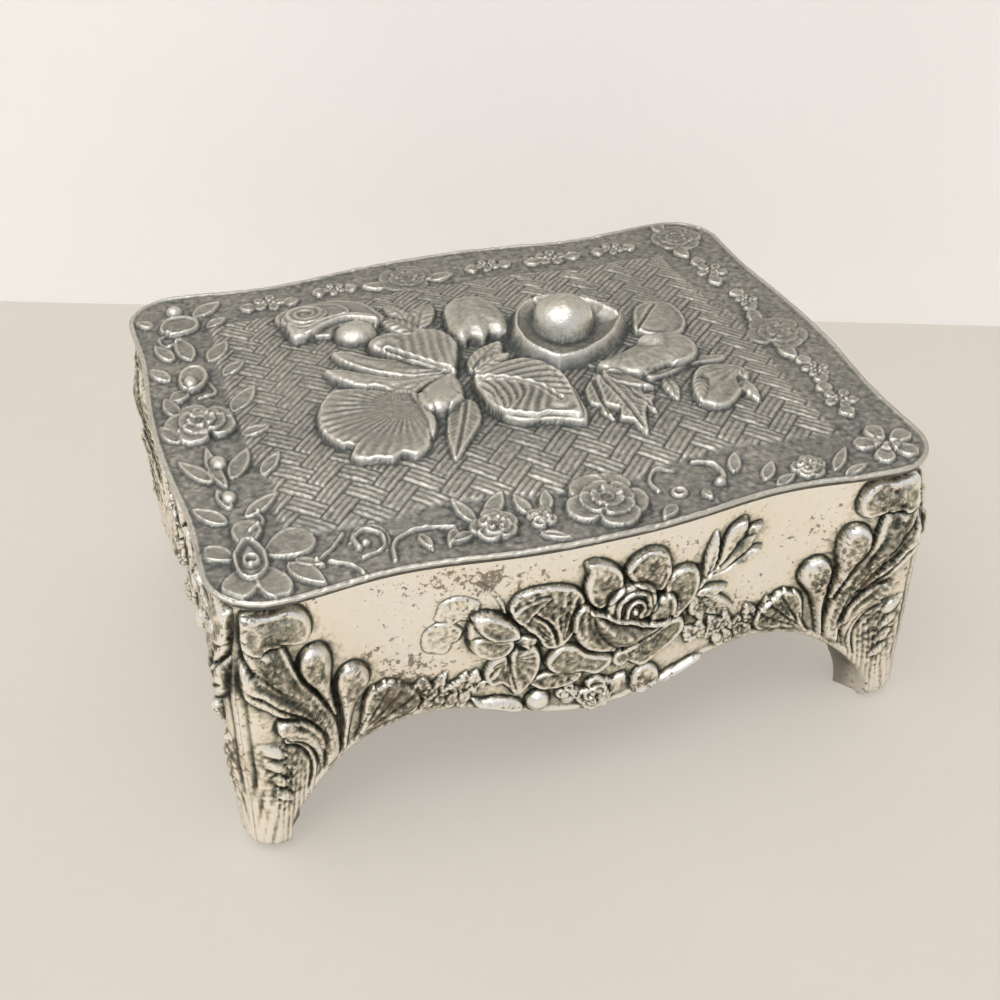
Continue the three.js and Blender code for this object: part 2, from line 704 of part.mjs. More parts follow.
// The spray of roses and leaves, as shares of its length and height
const sprayShares = [
  // the mound under the leaves
  {
    rise: 0.22,
    outline: [
      [-0.243, 0.212], [-0.195, 0.241], [-0.097, 0.237], [-0.038, 0.359], [0.059, 0.368],
      [0.157, 0.407], [0.333, 0.359], [0.479, 0.193], [0.460, 0.017], [0.382, -0.091],
      [0.255, -0.130], [0.167, -0.091], [0.123, -0.208], [0.040, -0.247], [-0.068, -0.208],
      [-0.136, -0.159], [-0.214, -0.130], [-0.234, -0.188], [-0.351, -0.227], [-0.419, -0.169],
      [-0.429, -0.052], [-0.361, 0.027], [-0.380, 0.105], [-0.351, 0.183],
    ],
  },
  // serrated leaf
  {
    rise: 0.34,
    outline: [
      [0.156, -0.132], [0.195, -0.107], [0.239, -0.127], [0.269, -0.181], [0.272, -0.234],
      [0.252, -0.293], [0.227, -0.296], [0.201, -0.362], [0.178, -0.312], [0.154, -0.293],
      [0.132, -0.254], [0.127, -0.210],
    ],
  },
  // petal over the serrated leaf
  {
    rise: 0.40,
    outline: [
      [0.195, -0.104], [0.239, -0.124], [0.287, -0.200], [0.229, -0.173],
    ],
  },
  // striped bud
  {
    rise: 0.39,
    outline: [
      [0.356, -0.261], [0.375, -0.202], [0.411, -0.153], [0.458, -0.142], [0.525, -0.194],
      [0.497, -0.236], [0.458, -0.280], [0.411, -0.314], [0.372, -0.305],
    ],
  },
  // strip under the lobed petals
  {
    rise: 0.23,
    outline: [
      [0.289, -0.141], [0.352, -0.130], [0.430, -0.096], [0.501, -0.100], [0.494, -0.122],
      [0.413, -0.135], [0.343, -0.161],
    ],
  },
  // far rose, outer
  {
    rise: 0.31,
    outline: [
      [-0.445, 0.413], [-0.404, 0.446], [-0.335, 0.461], [-0.272, 0.452], [-0.223, 0.413],
      [-0.207, 0.356], [-0.199, 0.302], [-0.238, 0.263], [-0.316, 0.254], [-0.394, 0.276],
      [-0.431, 0.302],
    ],
  },
  // far rose, inner
  {
    rise: 0.46,
    outline: [
      [-0.434, 0.382], [-0.397, 0.424], [-0.333, 0.434], [-0.285, 0.412], [-0.268, 0.363],
      [-0.294, 0.324], [-0.348, 0.314], [-0.407, 0.321],
    ],
  },
  // far rose, lip
  {
    rise: 0.57,
    outline: [
      [-0.434, 0.291], [-0.427, 0.345], [-0.390, 0.313], [-0.336, 0.330], [-0.282, 0.338],
      [-0.232, 0.313], [-0.216, 0.279], [-0.282, 0.309], [-0.336, 0.299], [-0.424, 0.264],
    ],
  },
  // ruffled petal, rear
  {
    rise: 0.44,
    outline: [
      [-0.358, 0.176], [-0.317, 0.167], [-0.278, 0.128], [-0.220, 0.088], [-0.120, 0.005],
      [-0.171, -0.001], [-0.239, 0.022], [-0.290, 0.059], [-0.356, 0.142],
    ],
  },
  // ruffled petal, front
  {
    rise: 0.53,
    outline: [
      [-0.397, 0.099], [-0.363, 0.096], [-0.265, 0.024], [-0.202, 0.006], [-0.131, -0.008],
      [-0.182, -0.031], [-0.229, -0.058], [-0.274, -0.043], [-0.375, 0.047],
    ],
  },
  // fan petal
  {
    rise: 0.36,
    outline: [
      [-0.394, 0.014], [-0.335, -0.000], [-0.277, -0.034], [-0.233, -0.049], [-0.216, -0.103],
      [-0.220, -0.171], [-0.238, -0.220], [-0.252, -0.264], [-0.289, -0.293], [-0.340, -0.290],
      [-0.404, -0.269], [-0.421, -0.244], [-0.435, -0.191], [-0.458, -0.132], [-0.453, -0.069],
      [-0.431, -0.020],
    ],
  },
  // fold of the fan petal
  {
    rise: 0.46,
    outline: [
      [-0.237, -0.060], [-0.216, -0.078], [-0.208, -0.136], [-0.216, -0.195], [-0.241, -0.236],
      [-0.235, -0.117],
    ],
  },
  // pointed leaf
  {
    rise: 0.35,
    outline: [
      [-0.139, -0.109], [-0.107, -0.138], [-0.117, -0.196], [-0.150, -0.247], [-0.215, -0.323],
      [-0.215, -0.265], [-0.176, -0.146],
    ],
  },
  // small petal
  {
    rise: 0.70,
    outline: [
      [-0.230, -0.100], [-0.215, -0.056], [-0.176, -0.029], [-0.133, -0.012], [-0.117, -0.047],
      [-0.123, -0.095], [-0.144, -0.133], [-0.191, -0.154], [-0.221, -0.139],
    ],
  },
  // upper leaf
  {
    rise: 0.64,
    outline: [
      [-0.119, -0.012], [-0.203, 0.066], [-0.271, 0.156], [-0.269, 0.190], [-0.242, 0.207],
      [-0.203, 0.211], [-0.176, 0.193], [-0.142, 0.209], [-0.103, 0.196], [-0.078, 0.166],
      [-0.070, 0.124], [-0.082, 0.075], [-0.100, 0.030],
    ],
  },
  // right leaf, lower edge
  {
    rise: 0.40,
    outline: [
      [-0.089, -0.056], [0.036, -0.034], [0.094, -0.064], [0.116, -0.132], [0.114, -0.200],
      [0.106, -0.259], [0.086, -0.288], [0.006, -0.254], [-0.038, -0.244], [-0.074, -0.212],
    ],
  },
  // right leaf
  {
    rise: 0.60,
    outline: [
      [-0.096, -0.061], [-0.071, -0.025], [-0.017, -0.003], [0.041, 0.002], [0.080, -0.019],
      [0.102, -0.068], [0.108, -0.135], [0.100, -0.203], [0.086, -0.271], [0.024, -0.244],
      [-0.010, -0.240], [-0.047, -0.220], [-0.081, -0.191],
    ],
  },
  // leaves behind the cup
  {
    rise: 0.50,
    outline: [
      [-0.080, -0.006], [-0.017, 0.082], [0.032, 0.097], [0.040, 0.043], [0.022, 0.004],
      [-0.046, -0.035],
    ],
  },
  // middle bud
  {
    rise: 0.90,
    outline: [
      [-0.075, 0.148], [-0.071, 0.226], [-0.052, 0.294], [-0.005, 0.326], [0.046, 0.309],
      [0.068, 0.255], [0.073, 0.187], [0.061, 0.130], [-0.010, 0.115], [-0.056, 0.121],
    ],
  },
  // lobed petal, rear
  {
    rise: 0.47,
    outline: [
      [0.342, 0.044], [0.361, 0.098], [0.386, 0.149], [0.430, 0.176], [0.479, 0.167],
      [0.495, 0.128], [0.485, 0.059], [0.444, 0.010], [0.386, 0.010],
    ],
  },
  // lobed petal, front
  {
    rise: 0.69,
    outline: [
      [0.196, -0.075], [0.245, -0.056], [0.303, -0.029], [0.352, -0.002], [0.403, 0.008],
      [0.445, -0.012], [0.458, -0.060], [0.432, -0.107], [0.391, -0.131], [0.308, -0.141],
      [0.272, -0.150], [0.208, -0.111],
    ],
  },
  // small leaves at the rear
  {
    rise: 0.24,
    outline: [
      [-0.146, 0.222], [-0.136, 0.310], [-0.070, 0.347], [-0.092, 0.271],
    ],
  },
];

// The cup round the polished bud, its outline, its hollow and its middle
const cupShares = [
  [0.314, 0.119], [0.280, 0.189], [0.216, 0.225], [0.140, 0.218], [0.084, 0.160], [0.076, 0.075],
  [0.094, 0.016], [0.112, -0.016], [0.159, -0.022], [0.219, -0.009], [0.277, 0.023], [0.326, 0.077],
];
const cupHollowShares = [
  [0.291, 0.119], [0.262, 0.174], [0.212, 0.202], [0.152, 0.197], [0.106, 0.152], [0.098, 0.083],
  [0.111, 0.033], [0.125, 0.003], [0.165, 0.000], [0.215, 0.014], [0.262, 0.041], [0.304, 0.084],
];
const budShares = [0.197, 0.119];
const farBallShares = [-0.284, 0.248];

function sprayPieces() {
  const place = (p, lift) => new THREE.Vector3(p.x, p.y, fieldAt(p.x, p.y) + lift);
  const scaled = (outline) => outline.map(([x, y]) => [x * sprayLength, y * sprayLength]);
  const pieces = sprayShares.map(({ rise, outline }) => (
    ornament(scaled(outline), rise * sprayRise, place)
  ));
  const ball = ([shareX, shareY], radii, lift) => {
    const centre = place(new THREE.Vector2(shareX, shareY).multiplyScalar(sprayLength), lift);
    return toSolid(boss(radii).translate(centre.x, centre.y, centre.z));
  };
  const bud = ball(budShares, new THREE.Vector3(budRadius, budRadius, budRadius), budLift);
  const farRadii = new THREE.Vector3(farBallRadius, farBallRadius, farBallHeight);
  const farBall = ball(farBallShares, farRadii, 0);
  const hollowPlace = (p, lift) => place(p, cupFloor + reliefRoot + lift);
  const cup = toSolid(ornament(scaled(cupShares), cupRise, place));
  const hollow = toSolid(ornament(scaled(cupHollowShares), cupRise, hollowPlace));
  return union(pieces).add(cup.subtract(hollow)).add(bud).add(farBall);
}

// The flowers and buds of the border: place, radius and height, as shares
const borderShares = [
  [-0.874, -0.776, 0.98, 0.75],
  [-0.588, -0.818, 0.52, 0.50],
  [-0.258, -0.851, 0.68, 0.83],
  [-0.130, -0.858, 0.46, 0.75],
  [0.052, -0.836, 1.12, 0.83],
  [0.244, -0.861, 0.38, 0.50],
  [0.364, -0.861, 0.34, 0.67],
  [0.616, -0.876, 0.54, 0.75],
  [0.872, -0.846, 0.94, 0.58],
  [-0.876, -0.423, 0.32, 0.67],
  [-0.872, -0.224, 0.36, 0.92],
  [-0.880, 0.040, 0.98, 0.96],
  [-0.866, 0.333, 0.44, 0.92],
  [-0.848, 0.751, 0.60, 0.75],
  [-0.560, 0.826, 0.58, 0.58],
  [-0.340, 0.858, 0.44, 0.58],
  [-0.100, 0.851, 0.92, 0.75],
  [0.180, 0.856, 0.48, 0.58],
  [0.400, 0.836, 0.60, 0.58],
  [0.620, 0.831, 0.48, 0.58],
  [0.856, 0.826, 0.88, 0.75],
  [0.868, 0.510, 0.60, 0.58],
  [0.884, 0.236, 0.44, 0.58],
  [0.880, -0.037, 0.96, 0.75],
  [0.884, -0.323, 0.48, 0.58],
  [0.868, -0.535, 0.58, 0.58],
];

function borderPieces() {
  return borderShares.map(([along, across, radius, rise]) => {
    const half = radius * borderRadius;
    const piece = boss(new THREE.Vector3(half, half, rise * borderRise));
    return piece.translate(along * length / 2, across * width / 2, rimHeight - rimBead);
  });
}

function lidGeometry() {
  const top = rimHeight + 2 * sprayRise;
  const bounds = toSolid(flatPlate(lidSides, rimBead, lidUnderside, top));
  const relief = union(borderPieces()).add(sprayPieces()).intersect(bounds);
  return toGeometry(toSolid(lidPlate()).add(relief));
}

// A lining strip stands on the card and follows the inside of its wall
function liningGeometry(side) {
  const end = sideEnd(side) - seamGap;
  const steps = 14;
  const places = Array.from({ length: steps + 1 }, (_, i) => end * (2 * i / steps - 1));
  const rows = [cardTop + fitGap, wallTop - liningDrop];
  const grid = (inset) => places.map((s) => rows.map((z) => edgePoint(side, s, inset, z)));
  return shellGeometry(grid(liningOuter), grid(liningInner));
}

// The floor pad is crowned and its edge is rounded
function padGeometry() {
  const top = padBottom + padThickness;
  const profile = [
    { inset: padInset + padCorner, share: 1, z: padBottom },
    { inset: padInset, share: 1, z: padBottom + padCorner },
    { inset: padInset, share: 1, z: top - padCorner },
    { inset: padInset + padCorner, share: 1, z: top },
    { inset: padInset, share: padMidShare, z: top + padCrown * padMidHeightShare },
  ];
  return plateGeometry(bodySides, profile, padBottom, top + padCrown);
}

// The hinge axis: just behind the rear wall, under the lid's edge
const rearFace = width / 2 + frontSwell - overhang;
const hingeY = rearFace + fitGap + knuckleRadius;
const hingeZ = lidUnderside - fitGap - knuckleRadius;
const knucklePitch = knuckleLength + fitGap;

function tubeAlongX(radius, bore, span) {
  const half = span / 2;
  const section = [
    [bore, -half], [radius, -half], [radius, half], [bore, half], [bore, -half],
  ].map(([r, h]) => new THREE.Vector2(r, h));
  return new THREE.LatheGeometry(section, knuckleSides).rotateZ(-Math.PI / 2);
}

function pinGeometry() {
  const half = knucklePitch * knuckleCount / 2;
  const section = [
    [0, -half - pinHeadLength], [pinHeadRadius, -half - pinHeadLength], [pinHeadRadius, -half],
    [pinRadius, -half], [pinRadius, half], [pinHeadRadius, half],
    [pinHeadRadius, half + pinHeadLength], [0, half + pinHeadLength],
  ].map(([r, h]) => new THREE.Vector2(r, h));
  return new THREE.LatheGeometry(section, pinSides).rotateZ(-Math.PI / 2);
}

function named(name, geometry, material) {
  const mesh = new THREE.Mesh(geometry, material);
  mesh.name = name;
  return mesh;
}

function bodyGroup() {
  const group = new THREE.Group();
  for (const [name, side] of Object.entries(bodySides)) {
    const relief = [...flowerRelief(side), ...legRelief(side)];
    group.add(named(`${name}_wall`, wallGeometry(side, relief), silver));
    group.add(named(`${name}_lining`, liningGeometry(side), velvet));
  }
  const plateInset = wallThickness + fitGap;
  group.add(named('base_plate', flatPlate(bodySides, plateInset, baseBottom, baseTop), sheet));
  group.add(named('floor_card', flatPlate(bodySides, liningOuter, cardBottom, cardTop), card));
  group.add(named('floor_pad', padGeometry(), velvet));
  return group;
}

function hingeGroup() {
  const group = new THREE.Group();
  const names = ['body_knuckle_left', 'lid_knuckle_left', 'body_knuckle_middle',
    'lid_knuckle_right', 'body_knuckle_right'];
  names.forEach((name, i) => {
    const knuckle = named(name, tubeAlongX(knuckleRadius, boreRadius, knuckleLength), silver);
    knuckle.position.x = (i - (names.length - 1) / 2) * knucklePitch;
    group.add(knuckle);
  });
  group.add(named('hinge_pin', pinGeometry(), steel));
  group.position.set(0, hingeY, hingeZ);
  return group;
}

const box = new THREE.Group();
box.add(bodyGroup(), hingeGroup(), named('lid', lidGeometry(), pewter));

export default box;
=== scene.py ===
import math

import bpy
import numpy as np
from mathutils import Matrix, Vector


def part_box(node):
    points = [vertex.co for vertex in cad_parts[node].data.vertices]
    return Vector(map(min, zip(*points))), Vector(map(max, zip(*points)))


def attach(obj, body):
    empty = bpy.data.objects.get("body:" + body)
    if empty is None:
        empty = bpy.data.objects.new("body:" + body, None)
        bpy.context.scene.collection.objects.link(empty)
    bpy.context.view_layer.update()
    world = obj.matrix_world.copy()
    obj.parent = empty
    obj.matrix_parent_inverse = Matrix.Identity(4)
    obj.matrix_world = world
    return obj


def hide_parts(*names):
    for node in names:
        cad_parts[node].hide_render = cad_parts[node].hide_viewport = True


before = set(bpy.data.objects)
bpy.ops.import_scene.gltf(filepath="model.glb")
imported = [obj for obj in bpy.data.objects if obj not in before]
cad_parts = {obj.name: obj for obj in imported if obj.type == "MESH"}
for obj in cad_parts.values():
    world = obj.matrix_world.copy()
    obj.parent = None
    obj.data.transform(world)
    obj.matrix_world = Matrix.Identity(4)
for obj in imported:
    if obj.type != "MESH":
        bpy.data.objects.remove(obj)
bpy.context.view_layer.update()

# Sizes of the box in millimetres, the same as in the solids
LENGTH, WIDTH, RIM_Z = 100.0, 80.4, 43.4
LID_CORNER, BODY_CORNER, LEAST_CORNER = 7.85, 2.5, 1.0
LID_THICK, LID_RISE, RIM_BEAD, OVERHANG = 1.8, 1.4, 0.45, 2.4
WALL, SEAM, FIT = 2.0, 0.3, 0.3
ARCH_Z, APRON_Z = 16.1, 11.6
KNEE_OUT, KNEE_DROP, KNEE_REACH = 2.2, 12.0, 16.0
TOE_R, LIP_R = 3.0, 0.7
FOOT_EXTRA, FOOT_EXTRA_Z = 1.8, 13.0
UNDER_Z = RIM_Z - LID_THICK
WALL_TOP = UNDER_Z - FIT
FIELD_Z = RIM_Z - RIM_BEAD
HINGE_Y, HINGE_Z = 40.05, 40.25

# Cells of the lid's relief, and how many of them make one cell of its underside
NX, NY, COARSE = 480, 390, 5
# Steps between two drawn points of an outline, a stroke and a leaf's rib
OUTLINE_STEPS, STROKE_STEPS, RIB_STEPS = 5, 14, 8
FAR, TINY = 1e9, 1e-9
# Cells of the noise before it repeats, and the steps in mm that count as a full crevice
NOISE_CELLS, NARROW_STEP, WIDE_STEP = 64, 0.12, 0.3
# Forms that are laid on a relief: petals of a small flower, the slant of veins, and the widths of
# flanks and depths of grooves where a form doesn't set them
PETALS, VEIN_LEAN = 5, 0.9
STROKE_BEVEL, RING_BEVEL, BALL_BEVEL, LEAF_GROOVE, RING_GROOVE = 0.12, 0.1, 0.05, 0.05, 0.1
# Petals of a bloom's rings: count or None for its own, reach, half width, height and first angle
BLOOM_RINGS = ((None, 1.0, 0.5, 0.55, 0), (4, 0.66, 0.42, 0.8, 38), (3, 0.4, 0.3, 1.0, 70))


def smooth(t):
    c = np.clip(t, 0.0, 1.0)
    return c * c * (3 - 2 * c)


# A rounded hump, 1 at its middle
def hump(t, middle, width):
    return np.exp(-(((t - middle) / width) ** 2))


# The serpentine outline shared by the lid and the walls
def sides_of(inset, corner):
    front = dict(turn=0, half=LENGTH / 2 - inset, reach=WIDTH / 2 - inset, corner=corner,
                 swell=0.9, hollow=1.75, foot=3.4, arch=25.0)
    right = dict(turn=1, half=front["reach"], reach=front["half"], corner=corner,
                 swell=0.92, hollow=0.65, foot=6.4, arch=22.0)
    return dict(front=front, right=right, rear=dict(front, turn=2), left=dict(right, turn=3))


LID_SIDES = sides_of(0.0, LID_CORNER)
BODY_SIDES = sides_of(OVERHANG, BODY_CORNER)


def run_of(side):
    return side["half"] - side["corner"]


def end_of(side):
    return run_of(side) + side["corner"] * math.pi / 4


# How far a side swells out at u, which runs from -1 to 1 between its corners
def edge_wave(side, u):
    w = np.pi * np.abs(u) ** 1.35
    return side["swell"] * (1 + np.cos(w)) / 2 - side["hollow"] * (1 - np.cos(2 * w)) / 2


# The place s mm along a side from its middle, inset from the outline, at the height z
def edge_point(side, s, inset, z):
    s, inset, z = np.broadcast_arrays(np.asarray(s, float), np.asarray(inset, float), np.asarray(z, float))
    run = run_of(side)
    radius = np.maximum(side["corner"] - inset, LEAST_CORNER)
    inner = side["half"] - inset - radius
    angle = np.maximum(0.0, np.abs(s) - run) / side["corner"]
    bent = angle > 0
    along = np.where(bent, np.sign(s) * (inner + radius * np.sin(angle)), s * inner / run)
    out = side["reach"] - inset
    wave = edge_wave(side, np.clip(s / run, -1, 1))
    out = np.where(bent, out - radius * (1 - np.cos(angle)), out + wave)
    a = side["turn"] * math.pi / 2
    x = along * math.cos(a) + out * math.sin(a)
    y = along * math.sin(a) - out * math.cos(a)
    return np.stack([x, y, z], axis=-1)


# A smooth random pattern from -1 to 1, the same on every run. size is that of its cells in mm
def noise(x, y, size, seed):
    n = NOISE_CELLS
    table = np.random.default_rng(seed).random((n, n)) * 2 - 1
    gx, gy = x / size + 31.7, y / size + 17.3
    i, j = np.floor(gx).astype(int), np.floor(gy).astype(int)
    fx, fy = smooth(gx - i), smooth(gy - j)
    a, b = table[i % n, j % n], table[(i + 1) % n, j % n]
    c, d = table[i % n, (j + 1) % n], table[(i + 1) % n, (j + 1) % n]
    return (a * (1 - fx) + b * fx) * (1 - fy) + (c * (1 - fx) + d * fx) * fy


# Three passes of a running mean over 2 * cells + 1 cells, which is close to a soft blur
def blur(a, cells):
    for _ in range(3):
        for axis in (0, 1):
            pad = [(0, 0), (0, 0)]
            pad[axis] = (cells + 1, cells)
            c = np.cumsum(np.pad(a, pad, mode="edge"), axis=axis)
            n = a.shape[axis]
            hi = np.take(c, range(2 * cells + 1, 2 * cells + 1 + n), axis=axis)
            lo = np.take(c, range(0, n), axis=axis)
            a = (hi - lo) / (2 * cells + 1)
    return a


# Below zero in crevices and above zero on edges, at two scales
def crevices(h, share):
    narrow = np.clip(h - blur(h, 1), -NARROW_STEP, NARROW_STEP) / NARROW_STEP
    wide = np.clip(h - blur(h, 3), -WIDE_STEP, WIDE_STEP) / WIDE_STEP
    return (1 - share) * narrow + share * wide


class Relief:
    """A height map that ornament is laid on, like clay on a board. Places and heights are in mm."""

    def __init__(self, x, y):
        self.x, self.y = x.ravel(), y.ravel()
        self.cells = x.shape
        self.h = np.zeros(self.x.size)

    def near(self, cx, cy, r):
        return np.nonzero((np.abs(self.x - cx) < r) & (np.abs(self.y - cy) < r))[0]

    # Lays a form at the places idx. e is the distance inside its outline and z its height, which is
    # reached over a flank at least bevel wide. groove is the depth of the line that is cut round it.
    # With keep, clay that already stands higher stays
    def lay(self, idx, e, z, bevel, groove, keep=False):
        h = self.h[idx]
        k = np.clip(e / np.maximum(bevel, 0.6 * (z - h)), 0, 1)
        new = h + (z - h) * (1 - (1 - k) ** 2) ** 0.6
        if keep:
            new = np.maximum(h, new)
        cut = 1.5 * groove * hump(e, -0.12, 0.13)
        self.h[idx] = np.where(e > 0, new, h - cut)

    # A form with a drawn outline. Its height runs from z_root at its root to z_edge at its edge. rim,
    # rib, rib_deep, vein, grain and crown are the heights of its rim, of the ribs that fan out from
    # its root, of the groove along rib_line, of the veins beside that, of its grain and of its middle
    def shape(self, outline, root, z_root, z_edge, rim=0.12, power=1.0, ribs=0, rib=0.06,
              rib_line=None, rib_deep=0.4, vein=0.0, gap=1.1, grain=0.0, bevel=0.4, groove=0.06,
              keep=False, crown=0.0):
        line = closed_line(outline)
        lo, hi = line.min(0), line.max(0)
        idx = self.near((lo[0] + hi[0]) / 2, (lo[1] + hi[1]) / 2, max(hi - lo) / 2 + 1)
        x, y = self.x[idx], self.y[idx]
        e = inside_distance(x, y, line)
        inner = np.maximum(e, 0)
        dx, dy = x - root[0], y - root[1]
        d = np.hypot(dx, dy)
        share = d / (d + inner + 1e-6)
        z = z_root + (z_edge - z_root) * share ** power
        wave = 1 + 0.75 * noise(x, y, 2.6, 45)
        z = z + wave * rim * (1.25 * hump(inner, 0.26, 0.2) - 0.6 * hump(inner, 0.95, 0.4))
        if crown:
            z = z + crown * smooth(inner / max(inner.max(), 0.1))
        if ribs:
            t = np.arctan2(dy, dx)
            wander = 0.55 + 0.45 * noise(x, y, 1.7, 43)
            z = z + rib * wander * np.cos(ribs * t + 1.7 * np.sin(2.6 * t + d * 0.15)) * smooth(share * 1.5)
        if rib_line is not None:
            m, along, _ = line_distance(x, y, spline(rib_line, RIB_STEPS))
            z = z - rib_deep * hump(m, 0, 0.24) + 0.4 * rib_deep * hump(m, 0.5, 0.25)
            veins = np.cos(2 * np.pi * (along - VEIN_LEAN * m) / gap)
            z = z + vein * veins * smooth(m / 0.7) * smooth(inner / 0.7)
        if grain:
            z = z + grain * noise(x, y, 0.55, 77)
        self.lay(idx, e, z, bevel, groove, keep)

    # A flower seen from above: petals round a ring and a bead
    def flower(self, centre, size, height, degrees=0.0):
        cx, cy = centre
        for k in range(PETALS):
            a = math.radians(degrees + 360 * k / PETALS)
            c, q = math.cos(a), math.sin(a)
            self.leaf((cx + 0.1 * size * c, cy + 0.1 * size * q), (cx + size * c, cy + size * q),
                      0.3224 * size, height, widest=0.66, full=0.52, rib=0.0, vein=0.0, rim=0.5 * height,
                      root=0.7, dome=-0.25, bevel=0.3)
        self.ring(centre, 0.28 * size, 0.13 * size, 0.6 * height)
        self.ball(centre, 0.16 * size, height * 1.25, groove=0.04)

    # A rose seen from above: three rings of petals round a swirl
    def bloom(self, centre, size, height, degrees=0.0, outer=5):
        cx, cy = centre
        for count, reach, half, top, first in BLOOM_RINGS:
            count = count or outer
            for k in range(count):
                a = math.radians(degrees + first + 360 * k / count + 9 * math.sin(2.3 * k + size))
                c, q = math.cos(a), math.sin(a)
                near, far = 0.05 * size, size * reach * (1 + 0.06 * math.sin(5.1 * k + size))
                self.leaf((cx + near * c, cy + near * q), (cx + far * c, cy + far * q), half * size,
                          height * top, widest=0.64, full=0.5, rib=0.0, vein=0.0, rim=0.2 * height,
                          root=0.62, dome=-0.22, bevel=0.35)
        self.swirl(centre, 0.22 * size, height * 1.02, 0.14 * size, height * 0.1, height * 0.22, 0.25, 0.08)

    # A disc with a spiral groove, ripple high, and a dimple in its middle
    def swirl(self, centre, radius, top, pitch, ripple=0.14, dimple=0.3, bevel=0.5, groove=0.05):
        cx, cy = centre
        idx = self.near(cx, cy, radius + 1)
        dx, dy = self.x[idx] - cx, self.y[idx] - cy
        d, t = np.hypot(dx, dy), np.arctan2(dy, dx)
        z = top - ripple + ripple * np.cos(2 * np.pi * d / pitch - t) - dimple * hump(d, 0, pitch)
        self.lay(idx, radius - d, z, bevel, groove)

    # A leaf or petal from base to tip, half wide on each side and widest at that share of its
    # length. root, dome and tip_low say how much lower it is at its base, along its sides and at its
    # tip, serrate how deep its teeth are, and rib, vein and rim are heights
    def leaf(self, base, tip, half, height, bend=0.0, widest=0.42, full=0.8, rib=0.3, vein=0.1,
             gap=1.3, serrate=0.0, teeth=7, root=0.6, dome=0.35, keep=False, bevel=0.35, rim=0.0,
             tip_low=0.0):
        (bx, by), (tx, ty) = base, tip
        long = math.hypot(tx - bx, ty - by)
        ux, uy = (tx - bx) / long, (ty - by) / long
        idx = self.near((bx + tx) / 2, (by + ty) / 2, long / 2 + half + abs(bend) + 1)
        dx, dy = self.x[idx] - bx, self.y[idx] - by
        u = (dx * ux + dy * uy) / long
        uc = np.clip(u, 0, 1)
        v = -dx * uy + dy * ux - bend * np.sin(np.pi * uc)
        p = math.log(0.5) / math.log(widest)
        w = half * np.sin(np.pi * uc ** p) ** full
        if serrate:
            w = w * (1 - serrate * (uc * teeth % 1.0))
        over = np.maximum(np.maximum(-u, u - 1), 0) * long
        e = np.where(over > 0, -np.hypot(over, v), w - np.abs(v))
        a = np.abs(v) / np.maximum(w, 0.05)
        z = height * (root + (1 - root) * smooth(uc * 2)) * (1 - dome * a ** 2)
        z = z * (1 - tip_low * smooth(2 * uc - 1)) + rim * hump(e, 0.24, 0.17)
        z = z - rib * hump(v, 0, 0.26) * (1 - 0.5 * uc)
        veins = np.cos(2 * np.pi * (uc * long - VEIN_LEAN * np.abs(v)) / gap)
        z = z + vein * veins * smooth(a * 2.5)
        self.lay(idx, e, z, bevel, LEAF_GROOVE, keep)

    # A rounded line that narrows from w0 to w1. It stands on what it crosses, or at the height base
    def stroke(self, points, w0, w1, height, base=None):
        line = spline(points, STROKE_STEPS)
        lo, hi = line.min(0), line.max(0)
        cx, cy = (lo + hi) / 2
        idx = self.near(cx, cy, max(hi - lo) / 2 + max(w0, w1) + 1)
        off, _, at_point = line_distance(self.x[idx], self.y[idx], line)
        width = w0 + (w1 - w0) * at_point / (len(line) - 1)
        crown = np.sqrt(np.clip(1 - (off / np.maximum(width, 0.05)) ** 2, 0, 1))
        ground = self.h[idx] if base is None else base
        z = ground + height * crown * np.minimum(1, width / max(w0, w1) + 0.35)
        self.lay(idx, width - off, z, STROKE_BEVEL, LEAF_GROOVE, keep=True)

    def ball(self, centre, radius, top, keep=False, groove=0.08, squash=1.0):
        cx, cy = centre
        idx = self.near(cx, cy, radius + 1)
        d = np.hypot(self.x[idx] - cx, (self.y[idx] - cy) * squash)
        z = top - radius + np.sqrt(np.clip(radius ** 2 - d ** 2, 0, None))
        self.lay(idx, radius - d, z, BALL_BEVEL, groove, keep)

    def ring(self, centre, radius, width, height, squash=1.0):
        cx, cy = centre
        idx = self.near(cx, cy, radius + width + 1)
        d = np.abs(np.hypot(self.x[idx] - cx, (self.y[idx] - cy) * squash) - radius)
        crown = np.sqrt(np.clip(1 - (d / width) ** 2, 0, 1))
        self.lay(idx, width - d, self.h[idx] + height * crown, RING_BEVEL, RING_GROOVE, keep=True)

    def grid(self):
        return self.h.reshape(self.cells)

    # Lowers the steps between forms and keeps the mass under them. before is the height map that
    # the forms were laid on
    def soften(self, before, cells, mass, detail):
        ground = before.reshape(self.cells)
        laid = (np.abs(self.h - before) > 0.04).astype(float).reshape(self.cells)
        cover = smooth(blur(laid, 1) * 1.6 - 0.3)
        ground = ground * (1 - cover) + blur(ground, 8) * cover
        lifted = self.h.reshape(self.cells) - ground
        wide = blur(lifted, cells)
        self.h = (ground + mass * wide + detail * (lifted - wide)).ravel()


# Points on the smooth curve through all but the first and the last two of some points
def curve_through(p, steps):
    out = []
    for i in range(1, len(p) - 2):
        b = p[i + 1] - p[i - 1]
        c = 2 * p[i - 1] - 5 * p[i] + 4 * p[i + 1] - p[i + 2]
        d = -p[i - 1] + 3 * p[i] - 3 * p[i + 1] + p[i + 2]
        for k in range(steps):
            t = k / steps
            out.append(0.5 * (2 * p[i] + b * t + c * t * t + d * t ** 3))
    return out


def spline(points, steps):
    p = np.asarray(points, float)
    p = np.vstack([2 * p[0] - p[1], p, 2 * p[-1] - p[-2]])
    return np.array(curve_through(p, steps) + [p[-2]])


